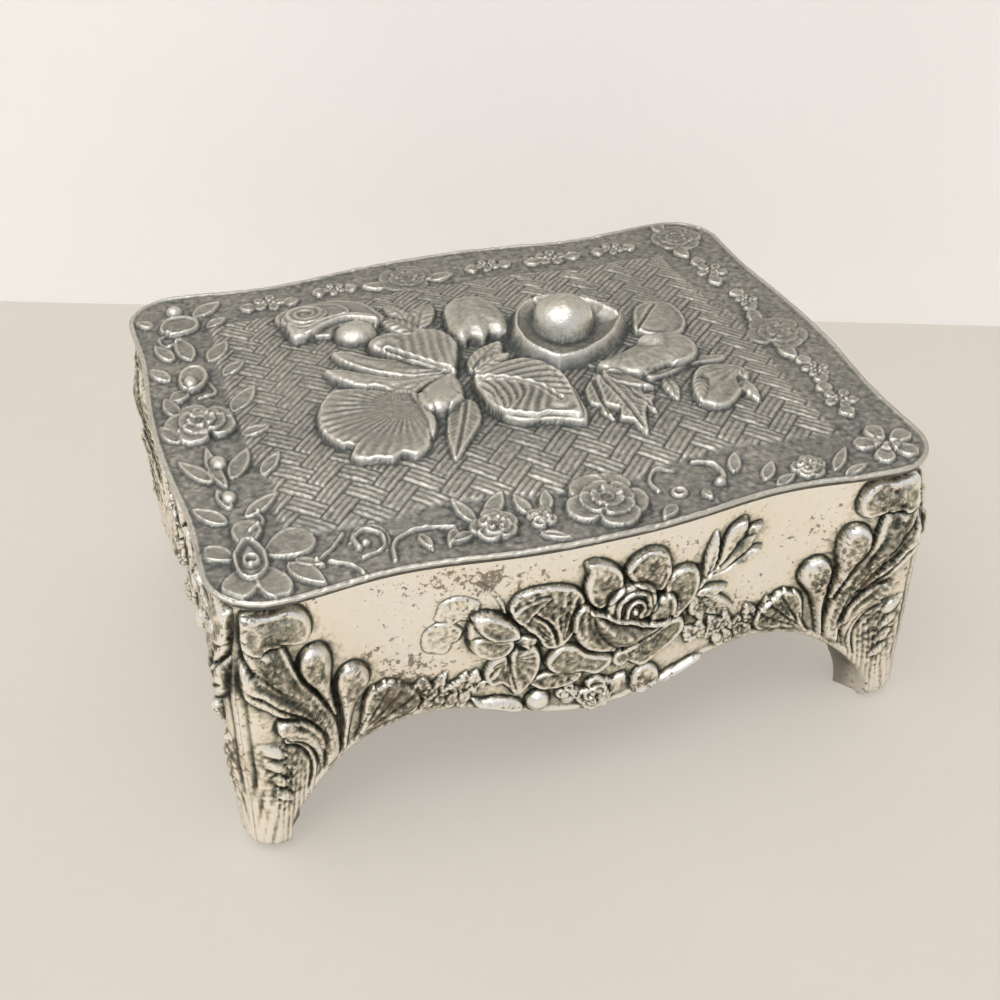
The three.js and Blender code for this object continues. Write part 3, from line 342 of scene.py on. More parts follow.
def closed_line(points):
    p = np.asarray(points, float)
    return np.array(curve_through(np.vstack([p[-1], p, p[0], p[1]]), OUTLINE_STEPS))


# Distance to a line of points, and how far along it the nearest place is, in mm and in points
def line_distance(x, y, line):
    best, along, at_point, run = np.full(x.shape, FAR), np.zeros(x.shape), np.zeros(x.shape), 0.0
    for k, ((ax, ay), (bx, by)) in enumerate(zip(line[:-1], line[1:])):
        vx, vy = bx - ax, by - ay
        t = np.clip(((x - ax) * vx + (y - ay) * vy) / max(vx * vx + vy * vy, TINY), 0, 1)
        d = np.hypot(x - ax - t * vx, y - ay - t * vy)
        closer = d < best
        best = np.where(closer, d, best)
        along = np.where(closer, run + t * math.hypot(vx, vy), along)
        at_point = np.where(closer, k + t, at_point)
        run += math.hypot(vx, vy)
    return best, along, at_point


# Distance to a closed outline, above zero inside it
def inside_distance(x, y, line):
    distance = line_distance(x, y, np.vstack([line, line[:1]]))[0]
    inside = np.zeros(x.shape, bool)
    for (ax, ay), (bx, by) in zip(line, np.roll(line, -1, axis=0)):
        if ay == by:
            continue
        crosses = ((ay > y) != (by > y)) & (x < (bx - ax) * (y - ay) / (by - ay) + ax)
        inside ^= crosses
    return np.where(inside, distance, -distance)


# A pen for a sheet. It turns text such as "388,232 430,198" into places on the relief, where at
# gives the place of one point
def pen(at):
    return lambda text, *lift: [at(*map(float, pair.split(",")), *lift) for pair in text.split()]


# Meshes
def make_mesh(name, points, faces, material, attributes=None, flat=False):
    mesh = bpy.data.meshes.new(name)
    sizes = np.concatenate([np.full(len(f), f.shape[1]) if isinstance(f, np.ndarray)
                            else np.array([len(p) for p in f]) for f in faces if len(f)])
    loops = np.concatenate([f.ravel() if isinstance(f, np.ndarray)
                            else np.concatenate([np.asarray(p) for p in f]) for f in faces if len(f)])
    mesh.vertices.add(len(points))
    mesh.vertices.foreach_set("co", (np.asarray(points, np.float64) * 0.001).astype(np.float32).ravel())
    mesh.loops.add(len(loops))
    mesh.loops.foreach_set("vertex_index", loops.astype(np.int32))
    mesh.polygons.add(len(sizes))
    starts = np.concatenate([[0], np.cumsum(sizes)[:-1]])
    mesh.polygons.foreach_set("loop_start", starts.astype(np.int32))
    mesh.update(calc_edges=True)
    mesh.validate()
    if not flat:
        mesh.polygons.foreach_set("use_smooth", np.ones(len(mesh.polygons), bool))
    for key, values in (attributes or {}).items():
        layer = mesh.attributes.new(key, "FLOAT", "POINT")
        layer.data.foreach_set("value", np.asarray(values, np.float32))
    mesh.materials.append(material)
    obj = bpy.data.objects.new(name, mesh)
    bpy.context.scene.collection.objects.link(obj)
    return obj


# Gives a piece its body and hides the node that it stands for
def show(obj, body, node):
    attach(obj, body)
    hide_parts(node)
    return obj


def grid_points(x, y, z):
    return np.stack([x, y, z], axis=-1).reshape(-1, 3)


# Faces of a grid of points
def quads(rows, cols, shift=0, flip=False):
    i, j = np.meshgrid(np.arange(cols - 1), np.arange(rows - 1))
    a = (j * cols + i).ravel() + shift
    f = np.stack([a, a + 1, a + 1 + cols, a + cols], axis=1)
    return f[:, ::-1] if flip else f


# Places on a patch between four sides, n by m cells, drawn in by inset
def coons(sides, inset, n, m):
    u, v = np.linspace(0, 1, n + 1), np.linspace(0, 1, m + 1)
    e, g = end_of(sides["front"]), end_of(sides["right"])
    low = edge_point(sides["front"], -e + 2 * e * u, inset, 0)[:, :2]
    high = edge_point(sides["rear"], e - 2 * e * u, inset, 0)[:, :2]
    left = edge_point(sides["left"], g - 2 * g * v, inset, 0)[:, :2]
    right = edge_point(sides["right"], -g + 2 * g * v, inset, 0)[:, :2]
    uu, vv = u[None, :, None], v[:, None, None]
    p = (1 - vv) * low[None] + vv * high[None] + (1 - uu) * left[:, None] + uu * right[:, None]
    p = p - ((1 - uu) * (1 - vv) * low[0] + uu * (1 - vv) * low[-1]
             + (1 - uu) * vv * high[0] + uu * vv * high[-1])
    return p[..., 0], p[..., 1]


# Places all round the outline, n on each long side and m on each short one
def rim_loop(sides, n, m, inset, z):
    e, g = end_of(sides["front"]), end_of(sides["right"])
    s, t = -e + 2 * e * np.arange(n) / n, -g + 2 * g * np.arange(m) / m
    return np.concatenate([edge_point(sides["front"], s, inset, z), edge_point(sides["right"], t, inset, z),
                           edge_point(sides["rear"], s, inset, z), edge_point(sides["left"], t, inset, z)])


# Points of a grid's border, in the order of rim_loop
def border_index(n, m, shift=0):
    c = n + 1
    return shift + np.concatenate([np.arange(n), np.arange(m) * c + n,
                                   m * c + n - np.arange(n), (m - np.arange(m)) * c])


# Distance of a place on the lid from its rim
def rim_distance(x, y):
    f, r = LID_SIDES["front"], LID_SIDES["right"]
    ax, ay, c = np.abs(x), np.abs(y), LID_CORNER
    dy = WIDTH / 2 + edge_wave(f, np.clip(ax / run_of(f), 0, 1)) - ay
    dx = LENGTH / 2 + edge_wave(r, np.clip(ay / run_of(r), 0, 1)) - ax
    cx, cy = ax - run_of(f), ay - run_of(r)
    corner = c - np.hypot(np.maximum(cx, 0), np.maximum(cy, 0))
    return np.where((cx > 0) & (cy > 0), corner, np.minimum(dx, dy))


# The lid rises from DOME_SHARE of its half size inwards
DOME_SHARE = 0.84


def lid_dome(x, y):
    share = ((np.abs(x) / (LENGTH / 2)) ** 6 + (np.abs(y) / (WIDTH / 2)) ** 6) ** (1 / 6)
    return LID_RISE * smooth((DOME_SHARE - share) / DOME_SHARE * 2)


# Width of the weave's bands, ridges on each, their lowest and their ridges' height
BAND_WIDTH, BAND_RIDGES, BAND_LOW, BAND_HIGH = 2.8, 3, 0.14, 0.3


# Slanting bands, each over two and under two
def basket_weave(x, y):
    a, b = (x + y) / math.sqrt(2) / BAND_WIDTH, (y - x) / math.sqrt(2) / BAND_WIDTH
    i, j = np.floor(a), np.floor(b)
    k = (i - j) % 4
    fa, fb = a - i, b - j
    level = (k < 2)
    across = np.where(level, fb, fa)
    along = np.where(level, (fa + (k == 1)) / 2, (fb + (k == 2)) / 2)
    ridge = np.abs(np.sin(np.pi * across * BAND_RIDGES)) ** 0.6
    ends = smooth(along / 0.05) * smooth((1 - along) / 0.05)
    sides = smooth(across / 0.08) * smooth((1 - across) / 0.08)
    arch = 0.66 + 0.34 * np.sin(np.pi * along)
    return (BAND_LOW + BAND_HIGH * ridge) * ends * sides * arch


# The lid's ornament was drawn on a sheet as the camera sees it, LID_DPMM units to the mm. What
# stands h mm high looks shifted there, by SHIFT for each mm
LID_DPMM, SHEET_LEFT, SHEET_REAR, SHIFT = 16, -52, 43, (0.45, 1.3)


def on_lid(px, py, h=0.0):
    return (SHEET_LEFT + px / LID_DPMM - SHIFT[0] * h, SHEET_REAR - py / LID_DPMM - SHIFT[1] * h)


def lay_spray(r):
    at, ink = on_lid, pen(on_lid)
    # small leaves that lie lowest
    r.leaf(at(700, 430, 1), at(768, 312, 1), 2.2, 1.3, rib=0.25, bend=0.4, tip_low=0.5, rim=0.08)
    r.leaf(at(690, 420, 1), at(655, 275, 1), 1.6, 1.4, rib=0.25, tip_low=0.5, rim=0.08)
    r.leaf(at(700, 470, 1), at(612, 330, 1), 1.8, 1.2, rib=0.2, tip_low=0.5)
    r.leaf(at(1175, 835, 1), at(1165, 935, 1), 1.2, 1.1, tip_low=0.4, rim=0.08)
    r.shape(ink("1135,812 1200,800 1280,765 1352,770 1345,792 1262,800 1190,828 1140,835", 1),
            at(1140, 820, 1), 1.1, 0.8, rim=0.1)
    # serrated leaf in three lobes
    r.shape(ink("1000,800 1030,770 1020,850 1000,910 998,965 978,930 985,905 968,880 978,830", 1),
            at(1010, 790, 1), 1.2, 0.8, rib_line=ink("1010,790 992,940", 1), vein=0.06)
    r.shape(ink("1040,780 1085,800 1108,850 1100,885 1120,905 1104,925 1098,965 1070,920 1055,860", 1),
            at(1050, 790, 1), 1.3, 0.9, rib_line=ink("1050,790 1098,950", 1), vein=0.06)
    r.shape(ink("1020,790 1050,800 1075,860 1072,900 1090,930 1072,965 1046,1036 1030,985 1008,965 "
                "1020,930 998,900 1008,850", 1), at(1032, 795, 1), 1.9, 1.1,
            rib_line=ink("1032,795 1042,900 1045,1020", 1), vein=0.08, rim=0.14)
    r.shape(ink("1040,770 1085,790 1120,840 1135,868 1105,862 1075,840 1045,810", 1.2),
            at(1045, 780, 1.2), 1.8, 1.3, rim=0.16)
    # striped bud
    r.shape(ink("1205,930 1225,870 1262,820 1310,808 1360,825 1378,862 1350,905 1310,950 1262,985 "
                "1222,975", 1.2), at(1370, 830, 1.2), 1.6, 1.2, ribs=22, rib=0.16, crown=0.3)
    r.leaf(at(1345, 870, 1.2), at(1345, 985, 1), 1.3, 1.3, rib=0.1, tip_low=0.3, rim=0.08)
    r.leaf(at(1262, 850, 1.2), at(1205, 962, 1), 1.2, 1.5, rib=0.1, tip_low=0.2, rim=0.1)
    # rose at the upper left
    r.shape(ink("388,232 430,198 500,183 565,192 615,232 632,290 640,345 600,385 520,395 440,372 402,345 "
                "392,290", 1.6), at(468, 262, 1.6), 1.5, 1.0, rim=0.14)
    r.shape(ink("402,255 440,212 505,202 555,225 572,275 545,315 490,325 430,318 404,292", 2),
            at(465, 255, 2), 1.9, 1.6, rim=0.18)
    r.swirl(at(466, 255, 2.2), 3.3, 2.2, 1.15)
    r.ball(at(560, 378, 2.4), 3.5, 2.7)
    r.shape(ink("405,340 412,285 450,318 505,300 560,292 612,318 628,352 606,348 560,318 505,330 455,362 "
                "415,368", 2.4), at(500, 300, 2.4), 2.3, 2.2, rim=0.3)
    # ruffled petals on the left
    r.shape(ink("478,470 520,480 560,520 620,560 690,612 722,645 670,652 600,628 548,590 505,545 "
                "480,505", 1.8), at(720, 645, 1.8), 2.1, 1.4, rim=0.26, ribs=26, rib=0.11)
    r.shape(ink("440,545 475,548 520,582 575,622 640,640 712,655 660,678 612,706 566,690 540,655 500,640 "
                "462,598", 2.0), at(715, 655, 2.0), 2.4, 1.7, rim=0.3, ribs=24, rib=0.12)
    # large fan petal, folded along its right edge
    r.shape(ink("440,640 500,655 560,690 605,705 622,760 618,830 600,880 585,925 548,955 522,936 495,952 "
                "468,938 430,930 412,905 426,872 398,850 375,790 380,725 402,675", 1.6),
            at(575, 765, 1.6), 1.35, 1.5, rim=0.2, power=0.8, ribs=44, rib=0.15)
    r.shape(ink("602,712 624,730 632,790 624,850 598,892 606,830 604,770", 1.8), at(604, 760, 1.8), 1.9,
            1.7, rim=0.15)
    # small petal and pointed leaf under the junction
    r.shape(ink("700,770 732,800 722,860 688,912 622,990 622,930 636,868 662,808", 1.4),
            at(712, 780, 1.4), 1.9, 0.9, rib_line=ink("712,780 680,860 624,982", 1.4), rib_deep=0.35,
            vein=0.04)
    r.shape(ink("612,745 628,700 668,672 712,655 728,690 722,740 700,778 652,800 622,785", 2.2),
            at(725, 665, 2.2), 2.6, 2.3, rim=0.08, crown=0.5, bevel=0.8)
    # upper leaf, heart shaped with a deep fold
    r.shape(ink("726,655 690,622 640,575 598,520 570,482 572,448 600,430 640,426 668,445 702,428 742,442 "
                "768,472 776,515 764,565 745,612", 2.2), at(726, 650, 2.2), 2.7, 2.1,
            rib_line=ink("726,650 668,588 604,508", 2.2), rib_deep=0.8, vein=0.1, gap=1.9, rim=0.18,
            crown=0.3, bevel=0.5)
    # large leaf on the right, its lower edge doubled
    r.shape(ink("752,712 800,700 880,690 940,720 962,790 960,860 952,920 932,950 892,930 850,915 805,905 "
                "768,872 750,810", 1.6), at(760, 715, 1.6), 1.6, 1.5, rim=0.1)
    r.shape(ink("750,705 775,668 830,645 890,640 930,662 952,712 958,780 950,850 936,920 905,906 872,892 "
                "838,888 800,868 765,838 750,780", 2.2), at(752, 700, 2.2), 2.5, 2.2,
            rib_line=ink("752,702 815,722 880,775 912,850", 2.2), rib_deep=0.7, vein=0.17, gap=1.9,
            rim=0.2)
    # leaves behind the cup
    r.leaf(at(765, 650, 2.0), at(878, 545, 2.2), 2.4, 2.0, rib=0.3, dome=0.3, rim=0.1)
    r.leaf(at(770, 660, 2.0), at(880, 610, 2.2), 1.6, 2.3, rib=0.2, dome=0.3, rim=0.1)
    # round bud in the middle
    r.shape(ink("778,470 782,390 802,320 850,288 902,305 925,360 930,430 918,488 890,500 868,488 845,506 "
                "820,488 798,500", 3.2), at(850, 330, 3.2), 1.7, 2.6, rim=0.2, crown=1.5, bevel=1.4)
    # lobed petals on the right
    r.shape(ink("1195,605 1215,550 1240,498 1285,470 1335,480 1352,520 1342,590 1300,640 1240,640", 1.8),
            at(1200, 610, 1.8), 2.0, 1.1, rim=0.18, crown=0.4,
            rib_line=ink("1200,610 1250,550 1300,490", 1.8))
    r.shape(ink("1050,715 1100,695 1160,668 1210,640 1262,630 1305,650 1318,700 1292,748 1250,772 "
                "1205,770 1165,782 1128,792 1095,772 1062,752", 2.4), at(1130, 690, 2.4), 1.9, 2.0,
            rim=0.2, crown=0.8, bevel=0.8, ribs=20)
    r.shape(ink("1175,650 1210,632 1248,640 1256,680 1232,712 1192,702", 2.8), at(1190, 650, 2.8), 2.5,
            2.5, rim=0.0, crown=0.9, bevel=1.3, groove=0.0, keep=True)


# The open bud: a polished bead in a cup of three petals. CUP_RIM and CUP_TOP are the rim's
# distance from the bud's middle and its height, at some angles
BUD, CUP_FALL, CUP_DEEP, BEAD_R, BEAD_FOOT, BEAD_RISE = (12.4, 8.3), 2.6, 1.9, 4.65, 1.5, 4.0
CUP_RIM = ([0, 30, 60, 100, 140, 175, 205, 228, 247, 262, 280, 302, 325, 342, 360],
           [6.9, 6.0, 5.6, 5.9, 6.4, 7.3, 8.7, 10.3, 11.4, 10.6, 9.3, 8.5, 8.3, 8.7, 6.9])
CUP_TOP = ([0, 60, 120, 160, 200, 247, 300, 340, 360], [2.8, 2.6, 3.1, 3.2, 2.6, 2.1, 2.2, 2.6, 2.8])
CUP_SEAMS = (344, 118)
# How much painted light brightens the bowl's metal, where its own shadow falls, and how much painted shade
# darkens its outer slope
BOWL_PAINTED_LIGHT, SLOPE_PAINTED_SHADE = 0.45, 0.05


# Lays the bud and returns its painted light in the bowl and painted shade on the outer slope
def cup_and_bead(r):
    cx, cy = BUD
    idx = r.near(cx, cy, 16)
    dx, dy = r.x[idx] - cx, r.y[idx] - cy
    d = np.hypot(dx, dy)
    t = np.degrees(np.arctan2(dy, dx)) % 360
    rim, top = np.interp(t, *CUP_RIM), np.interp(t, *CUP_TOP)
    slope = top * np.clip(1 - (d - rim) / CUP_FALL, 0, 1) ** 2.2
    bowl = top - CUP_DEEP * (1 - np.exp(-np.maximum(rim - d, 0) / 1.1))
    z = np.where(d > rim, slope, bowl) + 0.32 * hump(d, rim, 0.2)
    for seam in CUP_SEAMS:
        off = np.radians((t - seam + 180) % 360 - 180) * d
        z = z - 0.5 * hump(off, 0, 0.3) * smooth((d - rim + 1.4) / 1.4)
    r.h[idx] = np.where(d < rim, z, np.maximum(z, r.h[idx]))
    bead = BEAD_FOOT + BEAD_RISE * np.clip(1 - (d / BEAD_R) ** 2, 0, None) ** 0.5
    k = d < BEAD_R
    r.h[idx[k]] = bead[k]
    # Painted light in the bowl and painted shade on its outer slope
    shade = np.zeros(r.h.shape)
    in_bowl, on_slope = smooth((rim - 0.3 - d) / 0.5), smooth((d - rim - 0.3) / 0.5)
    shade[idx] = BOWL_PAINTED_LIGHT * in_bowl * (d > BEAD_R) - SLOPE_PAINTED_SHADE * on_slope * (d < rim + CUP_FALL)
    return shade


# How much lower than the spray's ground the border's is
BORDER_SINK = 0.7
# Places and sizes of the flowers along the rear and the right border
FAR_FLOWERS = ((-28, 33.2, 2.9), (-17, 34.5, 2.2), (-5, 34.2, 4.6), (9, 34.4, 2.4), (20, 33.6, 3.0),
               (31, 33.4, 2.4), (42.8, 33.2, 4.4), (43.4, 20.5, 3.0), (44.4, 9.5, 2.2), (44.2, -1.5, 4.8),
               (44.4, -13, 2.4), (43.6, -21.5, 2.9))


def lay_border(r):
    def at(px, py, h):
        return on_lid(px, py, h - BORDER_SINK)

    def leaf(x0, y0, x1, y1, half, height, lift=0.5, tip_lift=0.5, **form):
        r.leaf(at(x0, y0, lift), at(x1, y1, tip_lift), half, height, **low, **form)

    ink = pen(at)
    low = dict(rim=0.26, rib=0.0, vein=0.0, dome=-0.1, root=0.5, bevel=0.25)
    # corner flower at the front left
    petals = ((130, 1205, 78, 1300, 2.3), (148, 1210, 172, 1325, 2.1), (132, 1150, 150, 1060, 2.0),
              (160, 1180, 268, 1150, 2.9), (110, 1180, 45, 1130, 1.6))
    for x0, y0, x1, y1, half in petals:
        leaf(x0, y0, x1, y1, half, 0.5, widest=0.62, full=0.5)
    r.shape(ink("100,1210 104,1160 128,1122 150,1120 168,1160 166,1215 140,1250 112,1245", 0.8),
            at(133, 1190, 0.8), 0.3, 0.75, rim=0.34)
    r.ring(at(135, 1190, 0.8), 0.85, 0.32, 0.5, squash=0.8)
    r.ball(at(133, 1205, 0.8), 0.6, 1.1, groove=0.03)
    leaf(200, 1222, 258, 1312, 1.5, 0.4)
    leaf(215, 1215, 270, 1255, 0.9, 0.4)
    r.stroke(ink("255,1235 290,1205 325,1165", 0.5), 0.3, 0.24, 0.45)
    r.stroke(ink("280,1240 322,1272 345,1335", 0.5), 0.34, 0.24, 0.45)
    r.stroke(ink("345,1220 342,1185 370,1165 398,1190 390,1235 345,1250", 0.5), 0.42, 0.24, 0.5)
    r.stroke(ink("330,1200 352,1160 392,1160 410,1200 395,1245", 0.5), 0.2, 0.15, 0.25)
    r.ball(at(362, 1205, 0.6), 0.6, 0.6, groove=0.03)
    r.stroke(ink("402,1280 415,1225 455,1200 500,1200 545,1215", 0.5), 0.34, 0.3, 0.48)
    leaf(470, 1215, 482, 1275, 0.8, 0.4)
    leaf(545, 1220, 515, 1275, 0.8, 0.4)
    # small rose with leaves
    leaf(590, 1215, 562, 1130, 1.0, 0.45)
    leaf(615, 1210, 672, 1140, 1.3, 0.45)
    leaf(575, 1245, 520, 1265, 0.9, 0.4)
    r.bloom(at(625, 1235, 0.8), 3.2, 1.05, degrees=20)
    leaf(705, 1225, 690, 1155, 1.0, 0.45)
    leaf(740, 1225, 760, 1160, 1.0, 0.45)
    r.bloom(at(724, 1240, 0.8), 2.1, 0.95, degrees=50, outer=4)
    leaf(700, 1290, 760, 1330, 0.8, 0.4)
    # larger rose at the middle of the front
    r.bloom(at(873, 1225, 0.8), 5.6, 1.05, degrees=-20)
    # scrolls to its right
    r.stroke(ink("985,1235 982,1195 1010,1165 1045,1180", 0.5), 0.36, 0.24, 0.42)
    r.ring(at(1025, 1252, 0.5), 0.85, 0.34, 0.45)
    leaf(1000, 1290, 955, 1330, 1.0, 0.4)
    leaf(1075, 1260, 1080, 1300, 0.7, 0.4)
    r.stroke(ink("1095,1165 1135,1180 1140,1225 1115,1250", 0.5), 0.4, 0.5, 0.5)
    r.ball(at(1123, 1245, 0.6), 0.9, 0.85, groove=0.03)
    leaf(1165, 1225, 1198, 1160, 1.0, 0.45)
    leaf(1215, 1270, 1262, 1215, 1.0, 0.42)
    leaf(1230, 1295, 1285, 1275, 0.9, 0.4)
    r.bloom(at(1325, 1258, 0.7), 2.5, 0.95, degrees=10)
    leaf(1370, 1290, 1440, 1215, 0.9, 0.42)
    leaf(1385, 1310, 1450, 1290, 0.8, 0.4)
    # corner flower at the front right
    r.flower(at(1530, 1232, 0.6), 4.6, 0.45, degrees=20)
    # left border, from front to rear
    leaf(128, 1010, 110, 930, 0.9, 0.42)
    r.ball(at(132, 962, 0.6), 1.2, 0.8, squash=0.8, groove=0.03)
    leaf(135, 930, 120, 760, 1.0, 0.5, 0.6, 0.6, bend=0.5)
    leaf(150, 900, 205, 800, 1.4, 0.5, 0.6, 0.6)
    leaf(110, 900, 50, 805, 1.2, 0.45, 0.6)
    r.ball(at(135, 832, 0.8), 1.3, 1.15, squash=0.75, groove=0.03)
    r.bloom(at(128, 662, 0.9), 4.9, 1.25, degrees=30)
    leaf(200, 640, 268, 560, 1.5, 0.45, 0.6)
    leaf(80, 620, 62, 540, 1.2, 0.42, 0.6)
    r.shape(ink("108,500 112,440 140,410 172,420 180,465 160,505 132,520", 1.0), at(140, 475, 1.0), 0.4,
            0.9, rim=0.3)
    r.ball(at(135, 480, 1.2), 1.1, 1.35, squash=0.7, groove=0.03)
    leaf(120, 520, 70, 560, 1.3, 0.42, 0.6)
    leaf(190, 400, 245, 330, 1.5, 0.45, 0.6)
    leaf(150, 380, 135, 270, 1.5, 0.45, 0.6)
    leaf(110, 370, 75, 290, 1.2, 0.42, 0.6)
    r.shape(ink("100,215 120,170 165,160 200,190 190,235 150,250 115,245", 0.8), at(150, 205, 0.8), 0.35,
            0.7, rim=0.25)
    r.ball(at(150, 128, 0.8), 1.4, 1.15, groove=0.03)
    leaf(190, 170, 265, 120, 1.5, 0.45, 0.6)
    loose = ((150, 1045, 232, 985, 1.2), (112, 1055, 48, 985, 1.3), (212, 910, 265, 845, 1.1),
             (200, 742, 268, 738, 1.2), (66, 730, 28, 650, 1.1), (208, 478, 268, 438, 1.2),
             (88, 460, 44, 395, 1.2), (212, 236, 266, 205, 1.1), (88, 190, 48, 160, 1.0))
    for x0, y0, x1, y1, half in loose:
        leaf(x0, y0, x1, y1, half, 0.42)
    r.stroke(ink("140,560 178,545 172,500", 0.5), 0.32, 0.24, 0.4)
    r.stroke(ink("125,240 92,262 105,300 140,285", 0.5), 0.32, 0.24, 0.4)
    r.stroke(ink("150,1100 182,1070 176,1030", 0.5), 0.32, 0.24, 0.4)
    # the far borders repeat the same flowers, each with two leaves
    along_rear = ((1.25, -0.6, 2.1, -0.3), (-1.25, -0.6, -2.1, -0.2))
    along_right = ((-0.6, 1.25, -0.2, 2.1), (-0.6, -1.25, -0.3, -2.1))
    for k, (x, y, size) in enumerate(FAR_FLOWERS):
        for ax, ay, bx, by in along_right if x > 40 else along_rear:
            r.leaf((x + ax * size * 0.6, y + ay * size * 0.6), (x + bx * size * 0.8, y + by * size * 0.8),
                   1.3, 0.45, **low)
        if size > 4:
            r.bloom((x, y), size, 0.5, degrees=37.0 * k)
        else:
            r.flower((x, y), size * 0.9, 0.26, degrees=37.0 * k)


# The lid's field: its inset, its border's width, its highest place, and how its spray is softened:
# cells of blur, share of the mass and share of the detail that stay
FIELD_INSET, BORDER_WIDTH, HIGHEST_Z, LID_SOFTENING = 0.35, 10.6, 51.0, (6, 0.74, 0.85)
# Rings of the lid's edge from the field down, each with its inset and its drop
LID_EDGE = ((0.1, -0.05), (0.0, -0.22), (0.06, -0.5), (0.75, -1.0), (0.95, -1.8))
LEAST_EDGE, UNDER_INSET = 0.04, 1.2
# The painted highlight on the edge's first two rings, the painted shade on the next three, and the grime on
# the field
EDGE_PAINTED_HIGHLIGHT, EDGE_PAINTED_SHADE, LID_RAISED = 1.0, -0.9, 0.3
BROAD_CELLS = 12


# Joins rings of the same length with bands of faces
def bands(rings):
    return [np.stack([a, b, np.roll(b, -1), np.roll(a, -1)], axis=1) for a, b in zip(rings, rings[1:])]


# Values for the relief's vertices, and then one value for some more
def then(values, count, fill=0.0):
    return np.concatenate([np.ravel(values), np.full(count, fill)])


# The lid's relief, and how dark its hollows are with patina and how bright its edges are, partly
# from wear and partly as a painted highlight, with the cup's painted light and shade and a painted
# highlight along the rim bead
def carve_lid(x, y):
    from_rim = rim_distance(x, y)
    woven = smooth((from_rim - BORDER_WIDTH + 1.2 * noise(x, y, 7.0, 3)) / 1.2)
    ground = basket_weave(x, y) * woven * (0.82 + 0.25 * noise(x, y, 9.0, 5))
    ground = ground + (0.04 + 0.07 * (1 - woven)) * noise(x, y, 0.9, 8) + 0.05 * noise(x, y, 0.5, 9)
    r = Relief(x, y)
    r.h = ground.ravel().copy()
    lay_border(r)
    before = r.h.copy()
    lay_spray(r)
    r.soften(before, *LID_SOFTENING)
    # The cup's painted light and shade
    shade = cup_and_bead(r)
    h = r.grid()
    bead = 0.34 * hump(from_rim, 0.5, 0.3) * (0.85 + 0.3 * noise(x, y, 5.0, 11))
    h = np.maximum(h * smooth((from_rim - 0.7) / 0.7), 0) + np.minimum(h, 0) + bead
    h = h + 0.035 * noise(x, y, 0.55, 21) + 0.02 * noise(x, y, 0.3, 22)
    # Dark patina in the crevices, and bright edges, partly from wear and partly as a painted highlight
    cavity_and_painted_light = np.maximum(1.1 * crevices(h, 0.5), -0.8) - 0.1 * (1 - woven)
    # The cup's painted light and shade, and a painted highlight along the rim bead
    cavity_and_painted_light = cavity_and_painted_light + shade.reshape(h.shape) + 0.9 * hump(from_rim, 0.45, 0.25)
    return h, cavity_and_painted_light


# Rings down the lid's edge, after the points of its top
def lid_edge(top):
    loop = border_index(NX, NY)
    points, rings, count = [top], [loop], len(top)
    for k, (inset, drop) in enumerate(LID_EDGE):
        ring = rim_loop(LID_SIDES, NX, NY, inset, UNDER_Z)
        if k < len(LID_EDGE) - 1:
            ring[:, 2] = np.maximum(top[loop, 2] + drop, UNDER_Z + LEAST_EDGE)
        points.append(ring)
        rings.append(np.arange(len(ring)) + count)
        count += len(ring)
    return points, rings, count


# The underside, with larger cells, and the strip of faces that joins it to the edge's last ring
def lid_underside(fine, count):
    n, m = NX // COARSE, NY // COARSE
    x, y = coons(LID_SIDES, UNDER_INSET, n, m)
    z = UNDER_Z + lid_dome(x, y) * smooth((rim_distance(x, y) - 2.0) / 8.0)
    coarse = border_index(n, m, count)
    strip = []
    for k in range(len(coarse)):
        span = [fine[(k * COARSE + q) % len(fine)] for q in range(COARSE, 0, -1)]
        strip.append([fine[k * COARSE], coarse[k], coarse[(k + 1) % len(coarse)]] + span)
    return grid_points(x, y, z), [quads(m + 1, n + 1, shift=count, flip=True), strip]


def build_lid(material):
    x, y = coons(LID_SIDES, FIELD_INSET, NX, NY)
    h, cavity_and_painted_light = carve_lid(x, y)
    z = np.minimum(FIELD_Z + lid_dome(x, y) + h, HIGHEST_Z)
    top = grid_points(x, y, z)
    points, rings, count = lid_edge(top)
    under, under_faces = lid_underside(rings[-1], count)
    points = np.concatenate(points + [under])
    extra, loop = len(points) - len(top), len(rings[0])
    # A painted highlight on the edge's first two rings and painted shade on the next three
    cavity_and_painted_light = then(then(then(cavity_and_painted_light, 2 * loop, EDGE_PAINTED_HIGHLIGHT), 3 * loop, EDGE_PAINTED_SHADE), extra - 5 * loop)
    attributes = {
        "cavity_and_painted_light": cavity_and_painted_light,
        "broad": then(np.clip(h - blur(h, BROAD_CELLS), -0.9, 0.9), extra),
        "raised": then(np.full(len(top), LID_RAISED), extra),
    }
    faces = [quads(NY + 1, NX + 1)] + bands(rings) + under_faces
    show(make_mesh("lid_casting", points, faces, material, attributes), "lid_body", "lid")


# Walls
# The lower edge of half a wall, from its foot over the arch to its middle: along and height
def foot_line(side):
    reach = side["arch"] - side["foot"]
    phi = np.linspace(0, np.pi / 2, 160)
    d = [0.02, side["foot"] * 0.5]
    z = [0.0, 0.0]
    d += list(side["arch"] - reach * np.cos(phi))
    z += list(ARCH_Z * np.sin(phi))
    u = np.linspace(0, 1, 80)[1:]
    d += list(side["arch"] + (end_of(side) - side["arch"]) * u)
    z += list(ARCH_Z - (ARCH_Z - APRON_Z) * (1 - np.cos(np.pi * u)) / 2)
    return np.array(d), np.array(z)


# 1 at the corner and 0 beyond the reach of its knee
def corner_part(side, s):
    return smooth(1 - (end_of(side) - np.abs(s)) / KNEE_REACH)


def outer_inset(side, s, z):
    return -KNEE_OUT * corner_part(side, s) * smooth((WALL_TOP - z) / KNEE_DROP)


def inner_inset(side, s, z):
    return WALL + FOOT_EXTRA * corner_part(side, s) * smooth((FOOT_EXTRA_Z - z) / FOOT_EXTRA_Z * 2)


